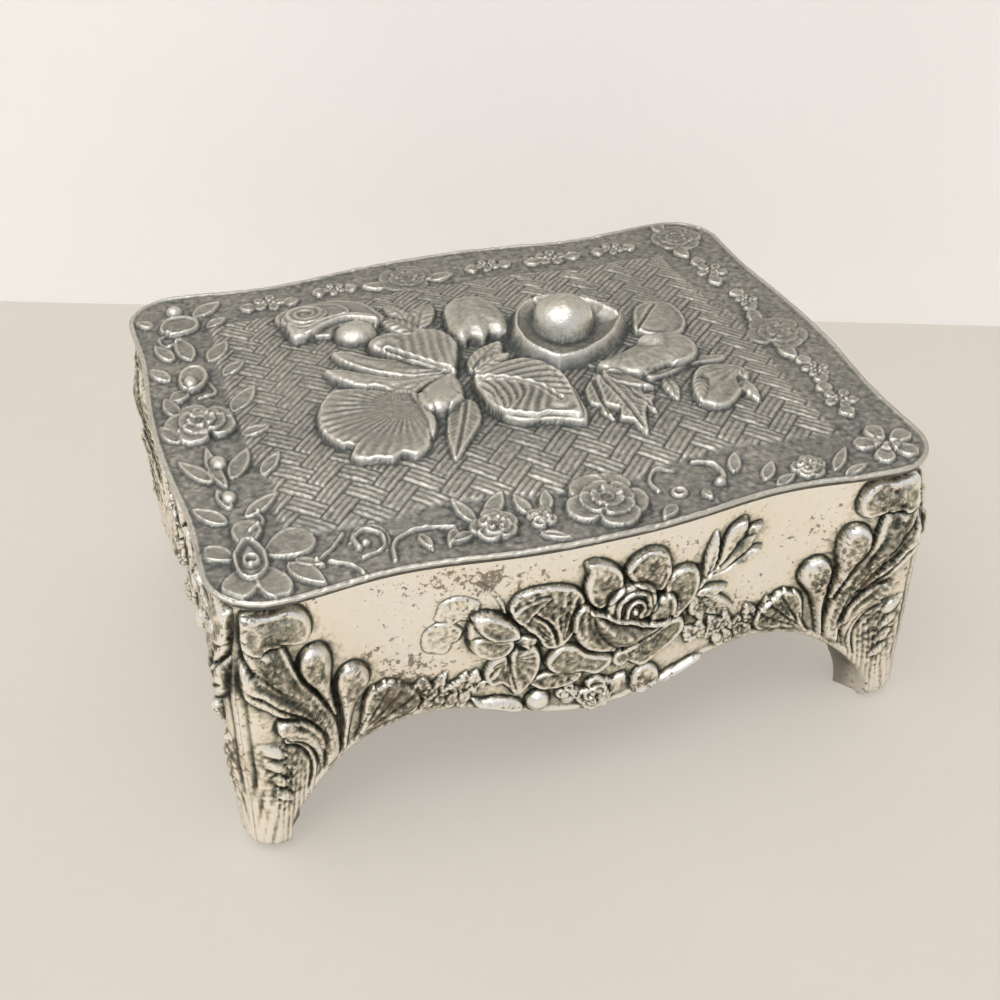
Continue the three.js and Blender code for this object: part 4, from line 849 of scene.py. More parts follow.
# Rounds the lower edge, and the toes more. rise is the height over that edge
def lip_inset(side, s, rise):
    d = end_of(side) - np.abs(s)
    radius = LIP_R + (TOE_R - LIP_R) * smooth(2 - d / side["foot"])
    h = np.minimum(1, rise / radius)
    return radius * (1 - np.sqrt(1 - (1 - h) ** 2))


# The walls' flowers were drawn on a sheet with WALL_DPMM units to the mm
WALL_DPMM, WALL_SHEET_LEFT, WALL_SHEET_TOP = 28, -27, 40.8


def on_front(px, py):
    return (WALL_SHEET_LEFT + px / WALL_DPMM, WALL_SHEET_TOP - py / WALL_DPMM)


def lay_flowers(r, at):
    ink = pen(at)
    # low petals on the left and a thin stem
    r.shape(ink("148,208 162,168 215,148 262,160 300,190 290,238 262,262 228,258 200,275 165,262 "
                "138,240"), at(310, 240), 0.34, 0.2, rim=0.07, ribs=15, rib=0.07, grain=0.14, groove=0.09)
    r.shape(ink("88,335 104,285 150,258 200,270 236,306 218,350 196,362 176,402 128,398 96,378"),
            at(250, 290), 0.46, 0.24, rim=0.07, ribs=13, rib=0.07, grain=0.14, groove=0.09)
    r.stroke(ink("300,100 345,145 378,200 392,250"), 0.2, 0.2, 0.32)
    # textured leaf behind the rose
    r.shape(ink("405,240 425,180 470,155 530,150 600,160 660,190 695,250 668,320 650,400 600,445 540,440 "
                "508,380 465,335 440,292"), at(600, 440), 1.0, 0.8, rim=0.2, ribs=34, rib=0.1, grain=0.12,
            rib_line=ink("590,430 560,330 480,250"), crown=0.3)
    r.shape(ink("410,262 450,215 520,192 560,200 510,240 470,292 440,300"), at(440, 290), 1.3, 1.0,
            rim=0.16, grain=0.12)
    # leaf with two halves under the left bud
    r.shape(ink("398,448 360,450 322,490 310,545 335,588 372,582 402,612 432,652 408,540"), at(400, 455),
            1.1, 0.9, rim=0.14, ribs=18, rib=0.1)
    r.shape(ink("402,448 440,392 480,400 515,440 528,500 512,560 482,612 432,652 412,600 400,540"),
            at(405, 455), 1.4, 1.1, rim=0.16, ribs=18, rib=0.1,
            rib_line=ink("404,455 410,540 432,640"), rib_deep=0.3)
    # left bud of overlapping petals
    r.shape(ink("250,330 268,262 330,232 392,262 438,312 442,368 425,415 380,445 318,442 268,402"),
            at(330, 340), 1.1, 0.9, rim=0.1, crown=0.9, bevel=0.8)
    r.shape(ink("262,345 300,330 350,352 392,350 418,372 395,420 345,440 290,425 262,388"), at(350, 350),
            1.6, 1.6, rim=0.18, crown=0.2)
    r.shape(ink("266,240 320,228 380,258 428,302 440,345 405,352 350,345 305,318 280,282"), at(430, 320),
            1.75, 1.9, rim=0.24, power=1.5)
    r.leaf(at(420, 400), at(520, 400), 1.1, 0.9, rib=0.15, tip_low=0.4, rim=0.08)
    # rose: outer petals
    r.shape(ink("690,82 735,75 795,108 835,158 842,222 805,262 755,302 708,268 690,200 702,130"),
            at(790, 300), 1.1, 1.2, rim=0.28, power=1.4)
    r.shape(ink("848,160 878,105 940,78 1000,95 1032,150 1034,225 1000,282 950,262 880,215"),
            at(930, 290), 1.1, 1.25, rim=0.28, power=1.4)
    r.shape(ink("1012,280 1035,225 1095,203 1150,228 1168,292 1150,362 1105,412 1062,442 1032,380"),
            at(1010, 350), 1.1, 1.2, rim=0.24, power=1.4)
    r.shape(ink("548,505 595,452 655,458 715,512 780,540 815,560 795,600 745,625 685,598 640,600 585,582 "
                "552,545"), at(790, 520), 1.0, 1.0, rim=0.2)
    r.shape(ink("850,560 905,515 965,488 1040,448 1098,448 1112,500 1065,560 1005,602 942,638 890,612"),
            at(870, 520), 1.0, 1.0, rim=0.2)
    r.shape(ink("820,560 850,540 880,560 880,600 850,620 820,600"), at(850, 550), 0.7, 0.7)
    # rose: inner petals, bowl and front lip
    r.shape(ink("652,290 695,262 725,300 735,380 780,462 830,520 770,516 700,485 658,422 645,350"),
            at(760, 440), 1.4, 1.6, rim=0.26)
    r.shape(ink("770,320 788,252 850,212 925,220 968,262 985,320 958,380 900,395 835,385 790,360"),
            at(885, 310), 1.3, 2.0, rim=0.3, power=1.6)
    r.stroke(ink("815,350 822,280 875,245 930,268 948,330"), 0.34, 0.3, 0.5, base=1.7)
    r.stroke(ink("850,355 862,305 898,290 925,325 905,362"), 0.28, 0.24, 0.5, base=1.75)
    r.ball(at(885, 338), 0.5, 2.2, groove=0.06)
    r.shape(ink("965,352 998,308 1042,305 1062,350 1052,402 1005,442 952,430"), at(960, 400), 1.5, 1.9,
            rim=0.26)
    r.shape(ink("712,298 760,318 800,345 850,372 900,385 960,415 1035,430 1005,470 945,500 885,522 "
                "828,515 775,480 738,425 715,362"), at(850, 420), 1.7, 1.3, rim=0.08, crown=1.1,
            bevel=1.0)
    r.stroke(ink("715,300 765,325 815,362 870,380 930,412 990,428 1040,428"), 0.4, 0.45, 0.45, base=1.85)
    # right bud and its leaves
    fringe = (((1290, 365), 0.8), ((1340, 490), 1.2), ((1265, 505), 1.1), ((1200, 520), 1.0),
              ((1150, 475), 0.8))
    for tip, half in fringe:
        r.leaf(at(1150, 375), at(*tip), half, 0.85, rib=0.15, vein=0.05, gap=0.7, tip_low=0.3, rim=0.08)
    r.leaf(at(1160, 365), at(1300, 372), 0.9, 1.1, rib=0.15, rim=0.1)
    r.leaf(at(1200, 300), at(1228, 88), 1.05, 1.0, rib=0.2, full=0.7, rim=0.08)
    bud = (((1215, 310), (1425, 110), 1.3, 1.0, 0.76), ((1220, 300), (1352, 62), 1.5, 1.25, 0.7),
           ((1220, 305), (1392, 148), 1.3, 1.4, 0.7), ((1215, 315), (1438, 225), 1.0, 1.3, 0.66))
    for base, tip, half, height, widest in bud:
        r.leaf(at(*base), at(*tip), half, height, rib=0.0, vein=0.0, dome=0.5, widest=widest, rim=0.08)
    r.stroke(ink("1165,340 1200,300 1245,262"), 0.4, 0.25, 0.8)


def lay_apron(r, at):
    ink = pen(at)
    r.shape(ink("262,640 300,655 340,652 400,662 448,688 462,722 425,738 345,710 285,688"), at(350, 680),
            0.9, 0.7, rim=0.0, crown=0.4, bevel=0.5)
    r.leaf(at(250, 640), at(225, 600), 0.9, 0.8, tip_low=0.3)
    r.ball(at(518, 702), 1.75, 1.7, groove=0.1)
    r.shape(ink("480,600 540,570 620,580 690,600 680,640 600,660 530,650"), at(620, 610), 0.7, 0.6, grain=0.1)
    r.bloom(at(640, 700), 1.7, 1.2, degrees=80, outer=4)
    r.bloom(at(752, 728), 2.8, 1.5, degrees=30)
    r.leaf(at(800, 760), at(872, 660), 1.2, 1.0, rib=0.0, vein=0.0, rim=0.16, widest=0.6)
    r.shape(ink("900,700 920,660 970,650 1010,680 1020,730 985,770 930,778 902,745"), at(960, 720), 0.9,
            0.9, rim=0.16, grain=0.12)
    r.shape(ink("1010,745 1050,712 1110,700 1160,686 1212,690 1180,715 1110,738 1050,760"), at(1100, 720),
            0.8, 0.6, rim=0.0, crown=0.3, bevel=0.5)
    for first, step, count, way in ((-30, 34, 10, 1), (1520, -36, 11, -1)):
        for k in range(count):
            x, y = first + step * k, 604 + 14 * math.sin(1.9 * k)
            long = 84 + 30 * math.sin(2.7 * k + 1.0)
            lean = 30 + 26 * math.sin(1.3 * k)
            r.leaf(at(x, y), at(x + way * lean, y - long), 1.15 + 0.3 * math.sin(2.1 * k),
                   0.7 + 0.15 * math.sin(3.1 * k), rib=0.25, tip_low=0.3, rim=0.16, serrate=0.3, teeth=4,
                   bend=0.5 * math.sin(1.7 * k))
            r.leaf(at(x + 12, y - 2), at(x + 12 + way * 30, y - 34), 0.7, 0.8, rib=0.2, rim=0.1, keep=True)


# The leg's leaves were drawn on a sheet as the camera sees it. The corner seam runs down it
# through SEAM_X at the rows SEAM_ROW, and the rows drop by LEG_SLANT for each mm from the seam
SEAM_ROW, SEAM_X = [60, 200, 320, 440, 560, 720, 880, 952], [164, 158, 158, 168, 182, 200, 214, 224]
LEG_DPMM, LEG_DPMM_UP, LEG_SLANT, TOE_ROW = 29.2, 22.5, 5.9, 992


# The distance from the seam and the height of a point on the leg's sheet
def on_leg(px, py):
    d = 0.0
    for _ in range(3):
        row = py + LEG_SLANT * d
        d = (px - np.interp(row, SEAM_ROW, SEAM_X)) / LEG_DPMM
    return d, (TOE_ROW - row) / LEG_DPMM_UP


# Leaves on half a leg. sign is -1 for the half leg at the low end of the side and 1 at the other
def lay_leg(r, side, sign, scale=1.0):
    end = end_of(side)

    def at(px, py):
        d, z = on_leg(px, py)
        return (sign * (end - d * scale), z)

    ink = pen(at)
    # fan leaf towards the arch
    r.shape(ink("545,660 580,585 622,500 640,430 652,385 690,362 728,352 762,372 800,378 832,402 842,440 "
                "812,486 752,532 690,582 610,650"), at(535, 690), 0.5, 1.0, rim=0.14, ribs=46, rib=0.14)
    for tip in ((655, 372), (700, 350), (760, 362), (812, 384), (846, 420)):
        r.leaf(at(600, 560), at(*tip), 0.85, 1.1, rib=0.1, vein=0.0, dome=0.4, widest=0.75, rim=0.06,
               keep=True)
    for x, y in ((880, 430), (925, 415), (975, 408), (1020, 400)):
        r.leaf(at(x - 24, y + 50), at(x + 10, y - 22), 0.9, 0.75, rib=0.1, tip_low=0.2, rim=0.08)
    # two lobes on stems
    r.shape(ink("498,340 512,300 545,275 592,275 626,300 634,340 608,385 580,430 562,500 552,570 540,660 "
                "526,640 530,560 528,480 512,410"), at(535, 620), 0.9, 1.3, rim=0.0, crown=0.6, bevel=0.7,
            groove=0.1)
    r.shape(ink("352,262 362,215 400,185 448,182 478,215 482,270 478,330 488,390 505,455 490,455 455,400 "
                "415,340 372,300"), at(490, 440), 0.9, 1.5, rim=0.0, crown=0.6, bevel=0.7, groove=0.1)
    # long leaf that starts under the top lobe and runs down the leg's inner edge
    r.shape(ink("180,130 240,150 300,160 340,250 385,320 440,385 490,450 512,520 520,600 500,680 470,760 "
                "430,850 418,850 450,740 462,650 452,570 410,500 350,440 280,380 215,290 180,200"),
            at(500, 560), 1.0, 1.0, rim=0.16, crown=0.5, bevel=0.6, groove=0.12, grain=0.05)
    # second leaf from the seam
    r.shape(ink("166,215 215,262 275,312 330,342 385,395 430,450 458,520 466,590 440,560 395,500 340,462 "
                "280,420 215,380 170,315"), at(170, 260), 1.3, 1.0, rim=0.14,
            rib_line=ink("170,300 260,370 350,420 430,490"), rib_deep=0.3, groove=0.12, crown=0.3)
    # top lobe under the lid
    r.shape(ink("172,155 170,85 215,68 280,62 350,45 400,60 422,100 412,145 370,168 310,165 250,170 "
                "205,190"), at(200, 130), 1.2, 1.4, rim=0.1, crown=0.5, bevel=0.8, groove=0.14)
    # curl and the leaf that flows out of it
    r.shape(ink("262,440 300,425 350,432 400,460 440,505 455,570 440,640 425,600 395,555 350,520 300,505 "
                "270,475"), at(440, 600), 1.1, 1.5, rim=0.16, crown=0.4, bevel=0.6, groove=0.14)
    r.ball(at(300, 455), 1.5, 1.9, groove=0.06, keep=True)
    # lower leaf with a rim on its right
    r.shape(ink("205,540 240,520 290,528 340,548 382,590 398,650 385,720 352,790 310,850 270,870 240,800 "
                "218,700"), at(230, 500), 0.8, 0.2, rim=0.0, grain=0.14, ribs=46, rib=0.07, crown=0.2,
            bevel=0.7, groove=0.02)
    r.stroke(ink("300,515 350,530 395,575 415,640 402,715 362,800 335,850"), 0.36, 0.2, 0.4, base=0.4)
    for px, py in ((250, 545), (258, 600), (272, 660), (285, 720)):
        r.leaf(at(px - 26, py - 14), at(px + 42, py + 34), 0.8, 1.0, rib=0.0, vein=0.0, keep=True,
               tip_low=0.4)


# The short sides carry the same flowers, set closer together above the arch
def lay_side(r):
    middle, closer, split, lower, lift = 2.5, 0.8, 16.9, 0.95, 0.4

    def at(px, py):
        x, z = on_front(px, py)
        return ((x - middle) * closer, split + (z - split) * lower if z > split else z + lift)

    lay_flowers(r, at)
    r.ball(at(560, 706), 1.5, 1.5, groove=0.1)
    r.bloom(at(820, 710), 2.6, 1.4, degrees=30)
    r.ball(at(1080, 706), 1.5, 1.4, groove=0.1)


# Rows of a wall's outside and inside, and columns of half a long and half a short wall
OUTER_ROWS, INNER_ROWS, HALF_COLUMNS = 190, 12, (235, 205)
# How the walls' ornament is softened, as on the lid, and how much narrower a short wall's legs are
WALL_SOFTENING, SHORT_LEG = (4, 0.85, 0.95), 0.94
# Stained places on a wall: along, height, half size along and up, strength
TARNISH = ((-18.3, 38.3, 4.6, 2.2, 1.0), (-9.0, 37.0, 4.0, 2.0, 0.5), (-25.0, 24.5, 6.0, 3.0, 0.5),
           (-31.0, 29.0, 3.0, 2.2, 0.45), (17.0, 22.0, 9.0, 3.0, 0.4), (31.0, 33.0, 4.0, 3.0, 0.4),
           (22.0, 38.5, 3.0, 1.5, 0.5), (40.0, 22.0, 7.0, 9.0, 0.5), (-41.0, 30.0, 4.0, 7.0, 0.25),
           (3.5, 26.0, 4.5, 3.2, 0.45), (-7.5, 31.0, 3.5, 2.2, 0.3), (21.0, 33.5, 3.0, 3.0, 0.3),
           (-23.0, 19.5, 7.0, 2.0, 0.4), (4.0, 15.0, 9.0, 1.6, 0.3))


# Where a wall's relief has its columns: along the side, and the foot line's height there
def wall_columns(side):
    end = end_of(side)
    d, z = foot_line(side)
    length = np.concatenate([[0], np.cumsum(np.hypot(np.diff(d), 0.5 * np.diff(z)))])
    t = np.linspace(0, length[-1], HALF_COLUMNS[side["turn"] % 2] + 1)
    d, z = np.interp(t, length, d), np.interp(t, length, z)
    return np.concatenate([d - end, (end - d)[:-1][::-1]]), np.concatenate([z, z[:-1][::-1]])


def wall_rows(low, share):
    return low[None, :] + (WALL_TOP - low[None, :]) * share[:, None]


# Distance of each place on a wall from its foot line
def foot_distance(side, r):
    end = end_of(side)
    d, z = foot_line(side)
    line = np.stack([np.concatenate([d - end, (end - d)[::-1]]), np.concatenate([z, z[::-1]])], axis=1)
    return line_distance(r.x, r.y, line[::2])[0]


# Carves a wall, and returns how near each place is to a leg
def carve_wall(r, side):
    edge = foot_distance(side, r)
    seam = end_of(side) - np.abs(r.x)
    long_side = side["turn"] % 2 == 0
    # flutes down the foot
    flute = smooth((20 - r.y) / 6) * smooth((9.5 - seam) / 2.5)
    r.h += 0.16 * flute * np.cos(2 * np.pi * (seam - 0.18 * r.y) / 1.35)
    r.h += 0.07 * flute * np.cos(2 * np.pi * (seam - 0.1 * r.y) / 0.62)
    before = r.h.copy()
    if long_side:
        lay_flowers(r, on_front)
        lay_apron(r, on_front)
    else:
        lay_side(r)
    for sign in (-1, 1):
        lay_leg(r, side, sign, 1.0 if long_side else SHORT_LEG)
    r.soften(before, *WALL_SOFTENING)
    near_leg = 1 - smooth((seam - 24) / 5)
    r.h *= 1 - near_leg * (1 - smooth((edge - 0.9) / 0.9))
    r.h *= 0.35 + 0.65 * smooth((r.y - 5.5) / 5)
    # band along the arch and streaks on the toes
    band = np.sqrt(np.clip(1 - ((edge - 0.75) / 0.65) ** 2, 0, 1)) * smooth((seam - side["foot"]) / 2)
    r.h += 0.3 * band * smooth((r.y - 6) / 6)
    r.h += 0.09 * flute * np.cos(2 * np.pi * (seam - 0.12 * r.y) / 0.7) * (1 - 0.6 * smooth((r.y - 8) / 8))
    # raised solder line at the corner, with a groove beside it
    line = smooth((r.y - 5) / 14)
    r.h = r.h * smooth((seam - 0.15) / 0.8)
    r.h += 0.16 * hump(seam, 0, 0.3) * (0.25 + 0.75 * line)
    r.h -= 0.14 * hump(seam, 0.62, 0.14) * line
    # quiet just under the lid and at the lower edge
    r.h *= smooth((edge + 0.1) / 0.5)
    r.h *= 1 - 0.85 * smooth((r.y - (WALL_TOP - 0.6)) / 0.6)
    rough = smooth((r.h - 0.2) / 0.4) * smooth(edge / 0.8) * smooth((WALL_TOP - 0.8 - r.y) / 0.8)
    worn = (0.03 + 0.05 * rough) * noise(r.x, r.y, 0.6, 31) + 0.06 * noise(r.x, r.y, 3.0, 32)
    r.h += worn + 0.02 * noise(r.x, r.y, 0.3, 33)
    return near_leg


# Faces of a wall: its outside and inside, then the strips along its foot, its top and its ends
def wall_faces(cols):
    shift = (OUTER_ROWS + 1) * cols
    i = np.arange(cols - 1)
    top, inner_top = OUTER_ROWS * cols, shift + INNER_ROWS * cols
    up, down = np.arange(OUTER_ROWS + 1) * cols, shift + np.arange(INNER_ROWS, -1, -1) * cols
    low_end = list(up) + list(down)
    high_end = [v + cols - 1 for v in low_end][::-1]
    return [quads(OUTER_ROWS + 1, cols), quads(INNER_ROWS + 1, cols, shift=shift, flip=True),
            np.stack([i, i + shift, i + 1 + shift, i + 1], axis=1),
            np.stack([top + i, top + i + 1, inner_top + i + 1, inner_top + i], axis=1),
            [low_end, high_end]]


# How stained each place on a wall is
def tarnish(s, height):
    stain = np.zeros(height.shape)
    for along, up, across, tall, dark in TARNISH:
        patch = np.exp(-((s - along) / across) ** 2 - ((height - up) / tall) ** 2)
        stain = stain + dark * patch * (0.8 + 0.5 * noise(s, height, 1.6, 71))
    return stain


def build_wall(name, material):
    side = BODY_SIDES[name]
    columns, low = wall_columns(side)
    height = wall_rows(low, np.linspace(0, 1, OUTER_ROWS + 1) ** 0.92)
    s = np.broadcast_to(columns[None, :], height.shape)
    r = Relief(s.copy(), height)
    near_leg = carve_wall(r, side)
    h = r.grid()
    inset = outer_inset(side, s, height) + lip_inset(side, s, height - low[None, :]) - h
    outer = edge_point(side, s, inset, height)
    inner_height = wall_rows(low, np.linspace(0, 1, INNER_ROWS + 1))
    inner_s = np.broadcast_to(columns[None, :], inner_height.shape)
    inner = edge_point(side, inner_s, inner_inset(side, inner_s, inner_height), inner_height)
    points = np.concatenate([outer.reshape(-1, 3), inner.reshape(-1, 3)])
    extra = len(points) - h.size
    raised = blur(smooth(h / 0.5), 7) + 0.2 * near_leg.reshape(h.shape) * smooth((h - 0.1) / 0.4)
    attributes = {
        # Dark patina in the crevices, and bright edges, partly from wear and partly as a painted highlight
        "cavity_and_painted_light": then(0.95 * crevices(h, 0.36), extra),
        "broad": then(np.clip(h - blur(h, BROAD_CELLS), -0.7, 0.7), extra),
        "raised": then(raised, extra),
        "stain": then(tarnish(s, height), extra),
    }
    wall = make_mesh(f"{name}_wall_casting", points, wall_faces(len(columns)), material, attributes)
    show(wall, "box_body", f"{name}_wall")


# Materials
class Nodes:
    def __init__(self, name):
        self.material = bpy.data.materials.new(name)
        self.material.use_nodes = True
        self.tree = self.material.node_tree
        self.shader = self.tree.nodes["Principled BSDF"]
        self.coords = self.new("ShaderNodeTexCoord").outputs["Object"]

    def new(self, kind, **values):
        node = self.tree.nodes.new(kind)
        for key, value in values.items():
            setattr(node, key, value)
        return node

    def link(self, a, b):
        self.tree.links.new(a, b)

    def attribute(self, name):
        return self.new("ShaderNodeAttribute", attribute_name=name).outputs["Fac"]

    def noise(self, scale, detail=4.0, rough=0.55):
        node = self.new("ShaderNodeTexNoise")
        node.inputs["Scale"].default_value = scale
        node.inputs["Detail"].default_value = detail
        node.inputs["Roughness"].default_value = rough
        self.link(self.coords, node.inputs["Vector"])
        return node.outputs["Fac"]

    def math(self, kind, a, b, clamp=False):
        node = self.new("ShaderNodeMath", operation=kind, use_clamp=clamp)
        for socket, value in zip(node.inputs, (a, b)):
            self.feed(socket, value)
        return node.outputs[0]

    def mul(self, a, b, clamp=False):
        return self.math("MULTIPLY", a, b, clamp)

    def add(self, a, b, clamp=False):
        return self.math("ADD", a, b, clamp)

    def less(self, a, b):
        return self.math("SUBTRACT", a, b)

    def ramp(self, fac, stops):
        node = self.new("ShaderNodeValToRGB")
        while len(node.color_ramp.elements) < len(stops):
            node.color_ramp.elements.new(0.5)
        for element, (place, colour) in zip(node.color_ramp.elements, stops):
            element.position = place
            element.color = (*colour, 1.0)
        self.link(fac, node.inputs["Fac"])
        return node.outputs["Color"]

    def mix(self, fac, a, b):
        node = self.new("ShaderNodeMix", data_type="RGBA")
        for key, value in (("Factor", fac), ("A", a), ("B", b)):
            self.feed([k for k in node.inputs if k.name == key and k.enabled][0], value)
        return [k for k in node.outputs if k.enabled][0]

    def bump(self, height, strength, distance):
        node = self.new("ShaderNodeBump")
        node.inputs["Strength"].default_value = strength
        node.inputs["Distance"].default_value = distance
        self.link(height, node.inputs["Height"])
        self.link(node.outputs["Normal"], self.shader.inputs["Normal"])

    def set(self, key, value):
        self.feed(self.shader.inputs[key], value)

    # Gives a socket a number, a colour or another node's output
    def feed(self, socket, value):
        if isinstance(value, (int, float)):
            socket.default_value = value
        elif isinstance(value, tuple):
            socket.default_value = (*value, 1.0)
        else:
            self.link(value, socket)


def grey(value):
    return (value, value, value)


def scaled(colour, share):
    return tuple(c * share for c in colour)


# Cast metal, dark with patina in its crevices and bright on its edges, partly from wear and partly as a
# painted highlight. t runs along the five colours from grime to bright metal: level is its middle,
# gain and broad_gain say how much small and large forms change it, and soil darkens what is raised,
# which is high near ornament. Noise is per metre
def aged_metal(name, stops, gain, broad_gain, level, soil, rough_low, rough_high, specks=None):
    n = Nodes(name)
    cavity_and_painted_light, broad, raised = n.attribute("cavity_and_painted_light"), n.attribute("broad"), n.attribute("raised")
    fine, mottled, cloud = n.noise(2600, 6, 0.7), n.noise(1100, 5, 0.65), n.noise(90, 3, 0.5)
    crisp = n.mul(n.less(mottled, 0.42), 6.0, clamp=True)
    patchy = n.mul(n.less(n.noise(190, 3, 0.55), 0.3), 3.2, clamp=True)
    mess = n.mul(n.less(n.mul(crisp, 0.3), 0.18), patchy)
    mess = n.add(mess, n.mul(n.less(fine, 0.5), 0.4))
    mess = n.mul(mess, n.add(n.mul(raised, 1.3), 0.2))
    t = n.add(n.mul(cavity_and_painted_light, gain), n.mul(broad, broad_gain))
    t = n.add(t, mess)
    t = n.add(t, n.mul(n.less(cloud, 0.5), 0.25))
    t = n.less(t, n.mul(raised, soil))
    t = n.less(t, n.mul(n.attribute("stain"), 0.14))
    t = n.add(t, level, clamp=True)
    colour = n.ramp(t, list(zip((0.0, 0.3, 0.55, 0.8, 1.0), stops)))
    rough = n.ramp(t, [(0.0, grey(0.75)), (0.5, grey(rough_high)), (0.85, grey(rough_low)),
                       (1.0, grey(rough_low))])
    if specks:
        patch = n.mul(n.less(cloud, 0.5), 0.55)
        near = n.add(n.mul(raised, 0.05), n.mul(n.attribute("stain"), 0.27))
        mask = n.add(n.noise(1300, 3, 0.65), n.add(patch, near))
        mask = n.mul(n.less(mask, specks), 12.0, clamp=True)
        colour = n.mix(n.mul(mask, 0.75), colour, SPECK_BROWN)
        rough = n.mix(n.mul(mask, 0.8), rough, grey(0.7))
    n.set("Base Color", colour)
    n.set("Metallic", 1.0)
    n.set("Roughness", rough)
    n.bump(n.add(fine, n.mul(mottled, 0.8)), 0.5, 0.00013)
    return n.material


# Sheet, wire or tube. grain is the scale of its noise
def plain_metal(name, colour, rough, grain):
    n = Nodes(name)
    scratch, cloud = n.noise(grain, 5, 0.6), n.noise(grain * 0.12, 3, 0.5)
    t = n.add(n.mul(scratch, 0.5), n.mul(cloud, 0.5))
    n.set("Base Color", n.ramp(t, [(0.3, scaled(colour, 0.62)), (0.7, colour)]))
    n.set("Metallic", 1.0)
    n.set("Roughness", n.ramp(t, [(0.3, grey(rough + 0.14)), (0.7, grey(rough))]))
    n.bump(scratch, 0.3, 0.0001)
    return n.material


def velvet_cloth(name, colour):
    n = Nodes(name)
    pile, nap, crush = n.noise(5200, 3, 0.6), n.noise(900, 4, 0.6), n.noise(120, 3, 0.5)
    t = n.add(n.mul(nap, 0.55), n.mul(crush, 0.45))
    shades = [(0.3, scaled(colour, 0.45)), (0.55, colour), (0.8, scaled(colour, 1.7))]
    n.set("Base Color", n.ramp(t, shades))
    n.set("Roughness", 0.95)
    n.set("Sheen Weight", 0.55)
    n.set("Sheen Roughness", 0.35)
    n.set("Sheen Tint", (0.95, 0.55, 0.55))
    n.bump(n.add(pile, nap), 0.7, 0.00025)
    return n.material


def board(name, colour):
    n = Nodes(name)
    fibre, cloud = n.noise(1800, 6, 0.7), n.noise(140, 3, 0.5)
    t = n.add(n.mul(fibre, 0.6), n.mul(cloud, 0.4))
    n.set("Base Color", n.ramp(t, [(0.3, scaled(colour, 0.7)), (0.7, scaled(colour, 1.15))]))
    n.set("Roughness", 0.92)
    n.bump(fibre, 0.4, 0.0001)
    return n.material


SPECK_BROWN = (0.2, 0.15, 0.11)
PEWTER = ((0.06, 0.068, 0.066), (0.19, 0.197, 0.185), (0.39, 0.38, 0.34), (0.66, 0.64, 0.57),
          (0.82, 0.8, 0.74))
SILVER = ((0.04, 0.042, 0.036), (0.145, 0.15, 0.12), (0.45, 0.435, 0.35), (0.99, 0.92, 0.79),
          (1.0, 0.99, 0.94))
LID_METAL = aged_metal("lid_metal", PEWTER, gain=0.3, broad_gain=0.17, level=0.54, soil=0.0,
                       rough_low=0.26, rough_high=0.42)
WALL_METAL = aged_metal("wall_metal", SILVER, gain=0.55, broad_gain=0.1, level=0.94, soil=0.5,
                        rough_low=0.12, rough_high=0.28, specks=0.65)
BASE_METAL = plain_metal("base_metal", (0.55, 0.53, 0.49), rough=0.36, grain=900)
PIN_METAL = plain_metal("pin_metal", (0.5, 0.5, 0.49), rough=0.3, grain=1500)
KNUCKLE_METAL = plain_metal("knuckle_metal", (0.66, 0.62, 0.56), rough=0.34, grain=1300)
VELVET = velvet_cloth("velvet", (0.2, 0.012, 0.022))
CARD = board("card", (0.42, 0.33, 0.22))
SIDE_NAMES = ("front", "right", "rear", "left")

build_lid(LID_METAL)
for side_name in SIDE_NAMES:
    build_wall(side_name, WALL_METAL)

# Nodes that are shown as they are
for node, material in (("base_plate", BASE_METAL), ("floor_card", CARD), ("hinge_pin", PIN_METAL)):
    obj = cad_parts[node]
    obj.data.materials.clear()
    obj.data.materials.append(material)

# Knuckles: sides of the tube, its bore and outer radius, the chamfer of its ends, and the solder
# leaf's gap at its ends, length, lap under the tube, thickness and bite into the tube
TUBE_SIDES, BORE_R, TUBE_R, CHAMFER = 48, 0.7, 1.05, 0.08
LEAF_GAP, LEAF_DOWN, LEAF_IN, LEAF_LAP, LEAF_THICK, LEAF_BITE = 0.15, 3.4, 3.2, 0.2, 0.22, 0.12


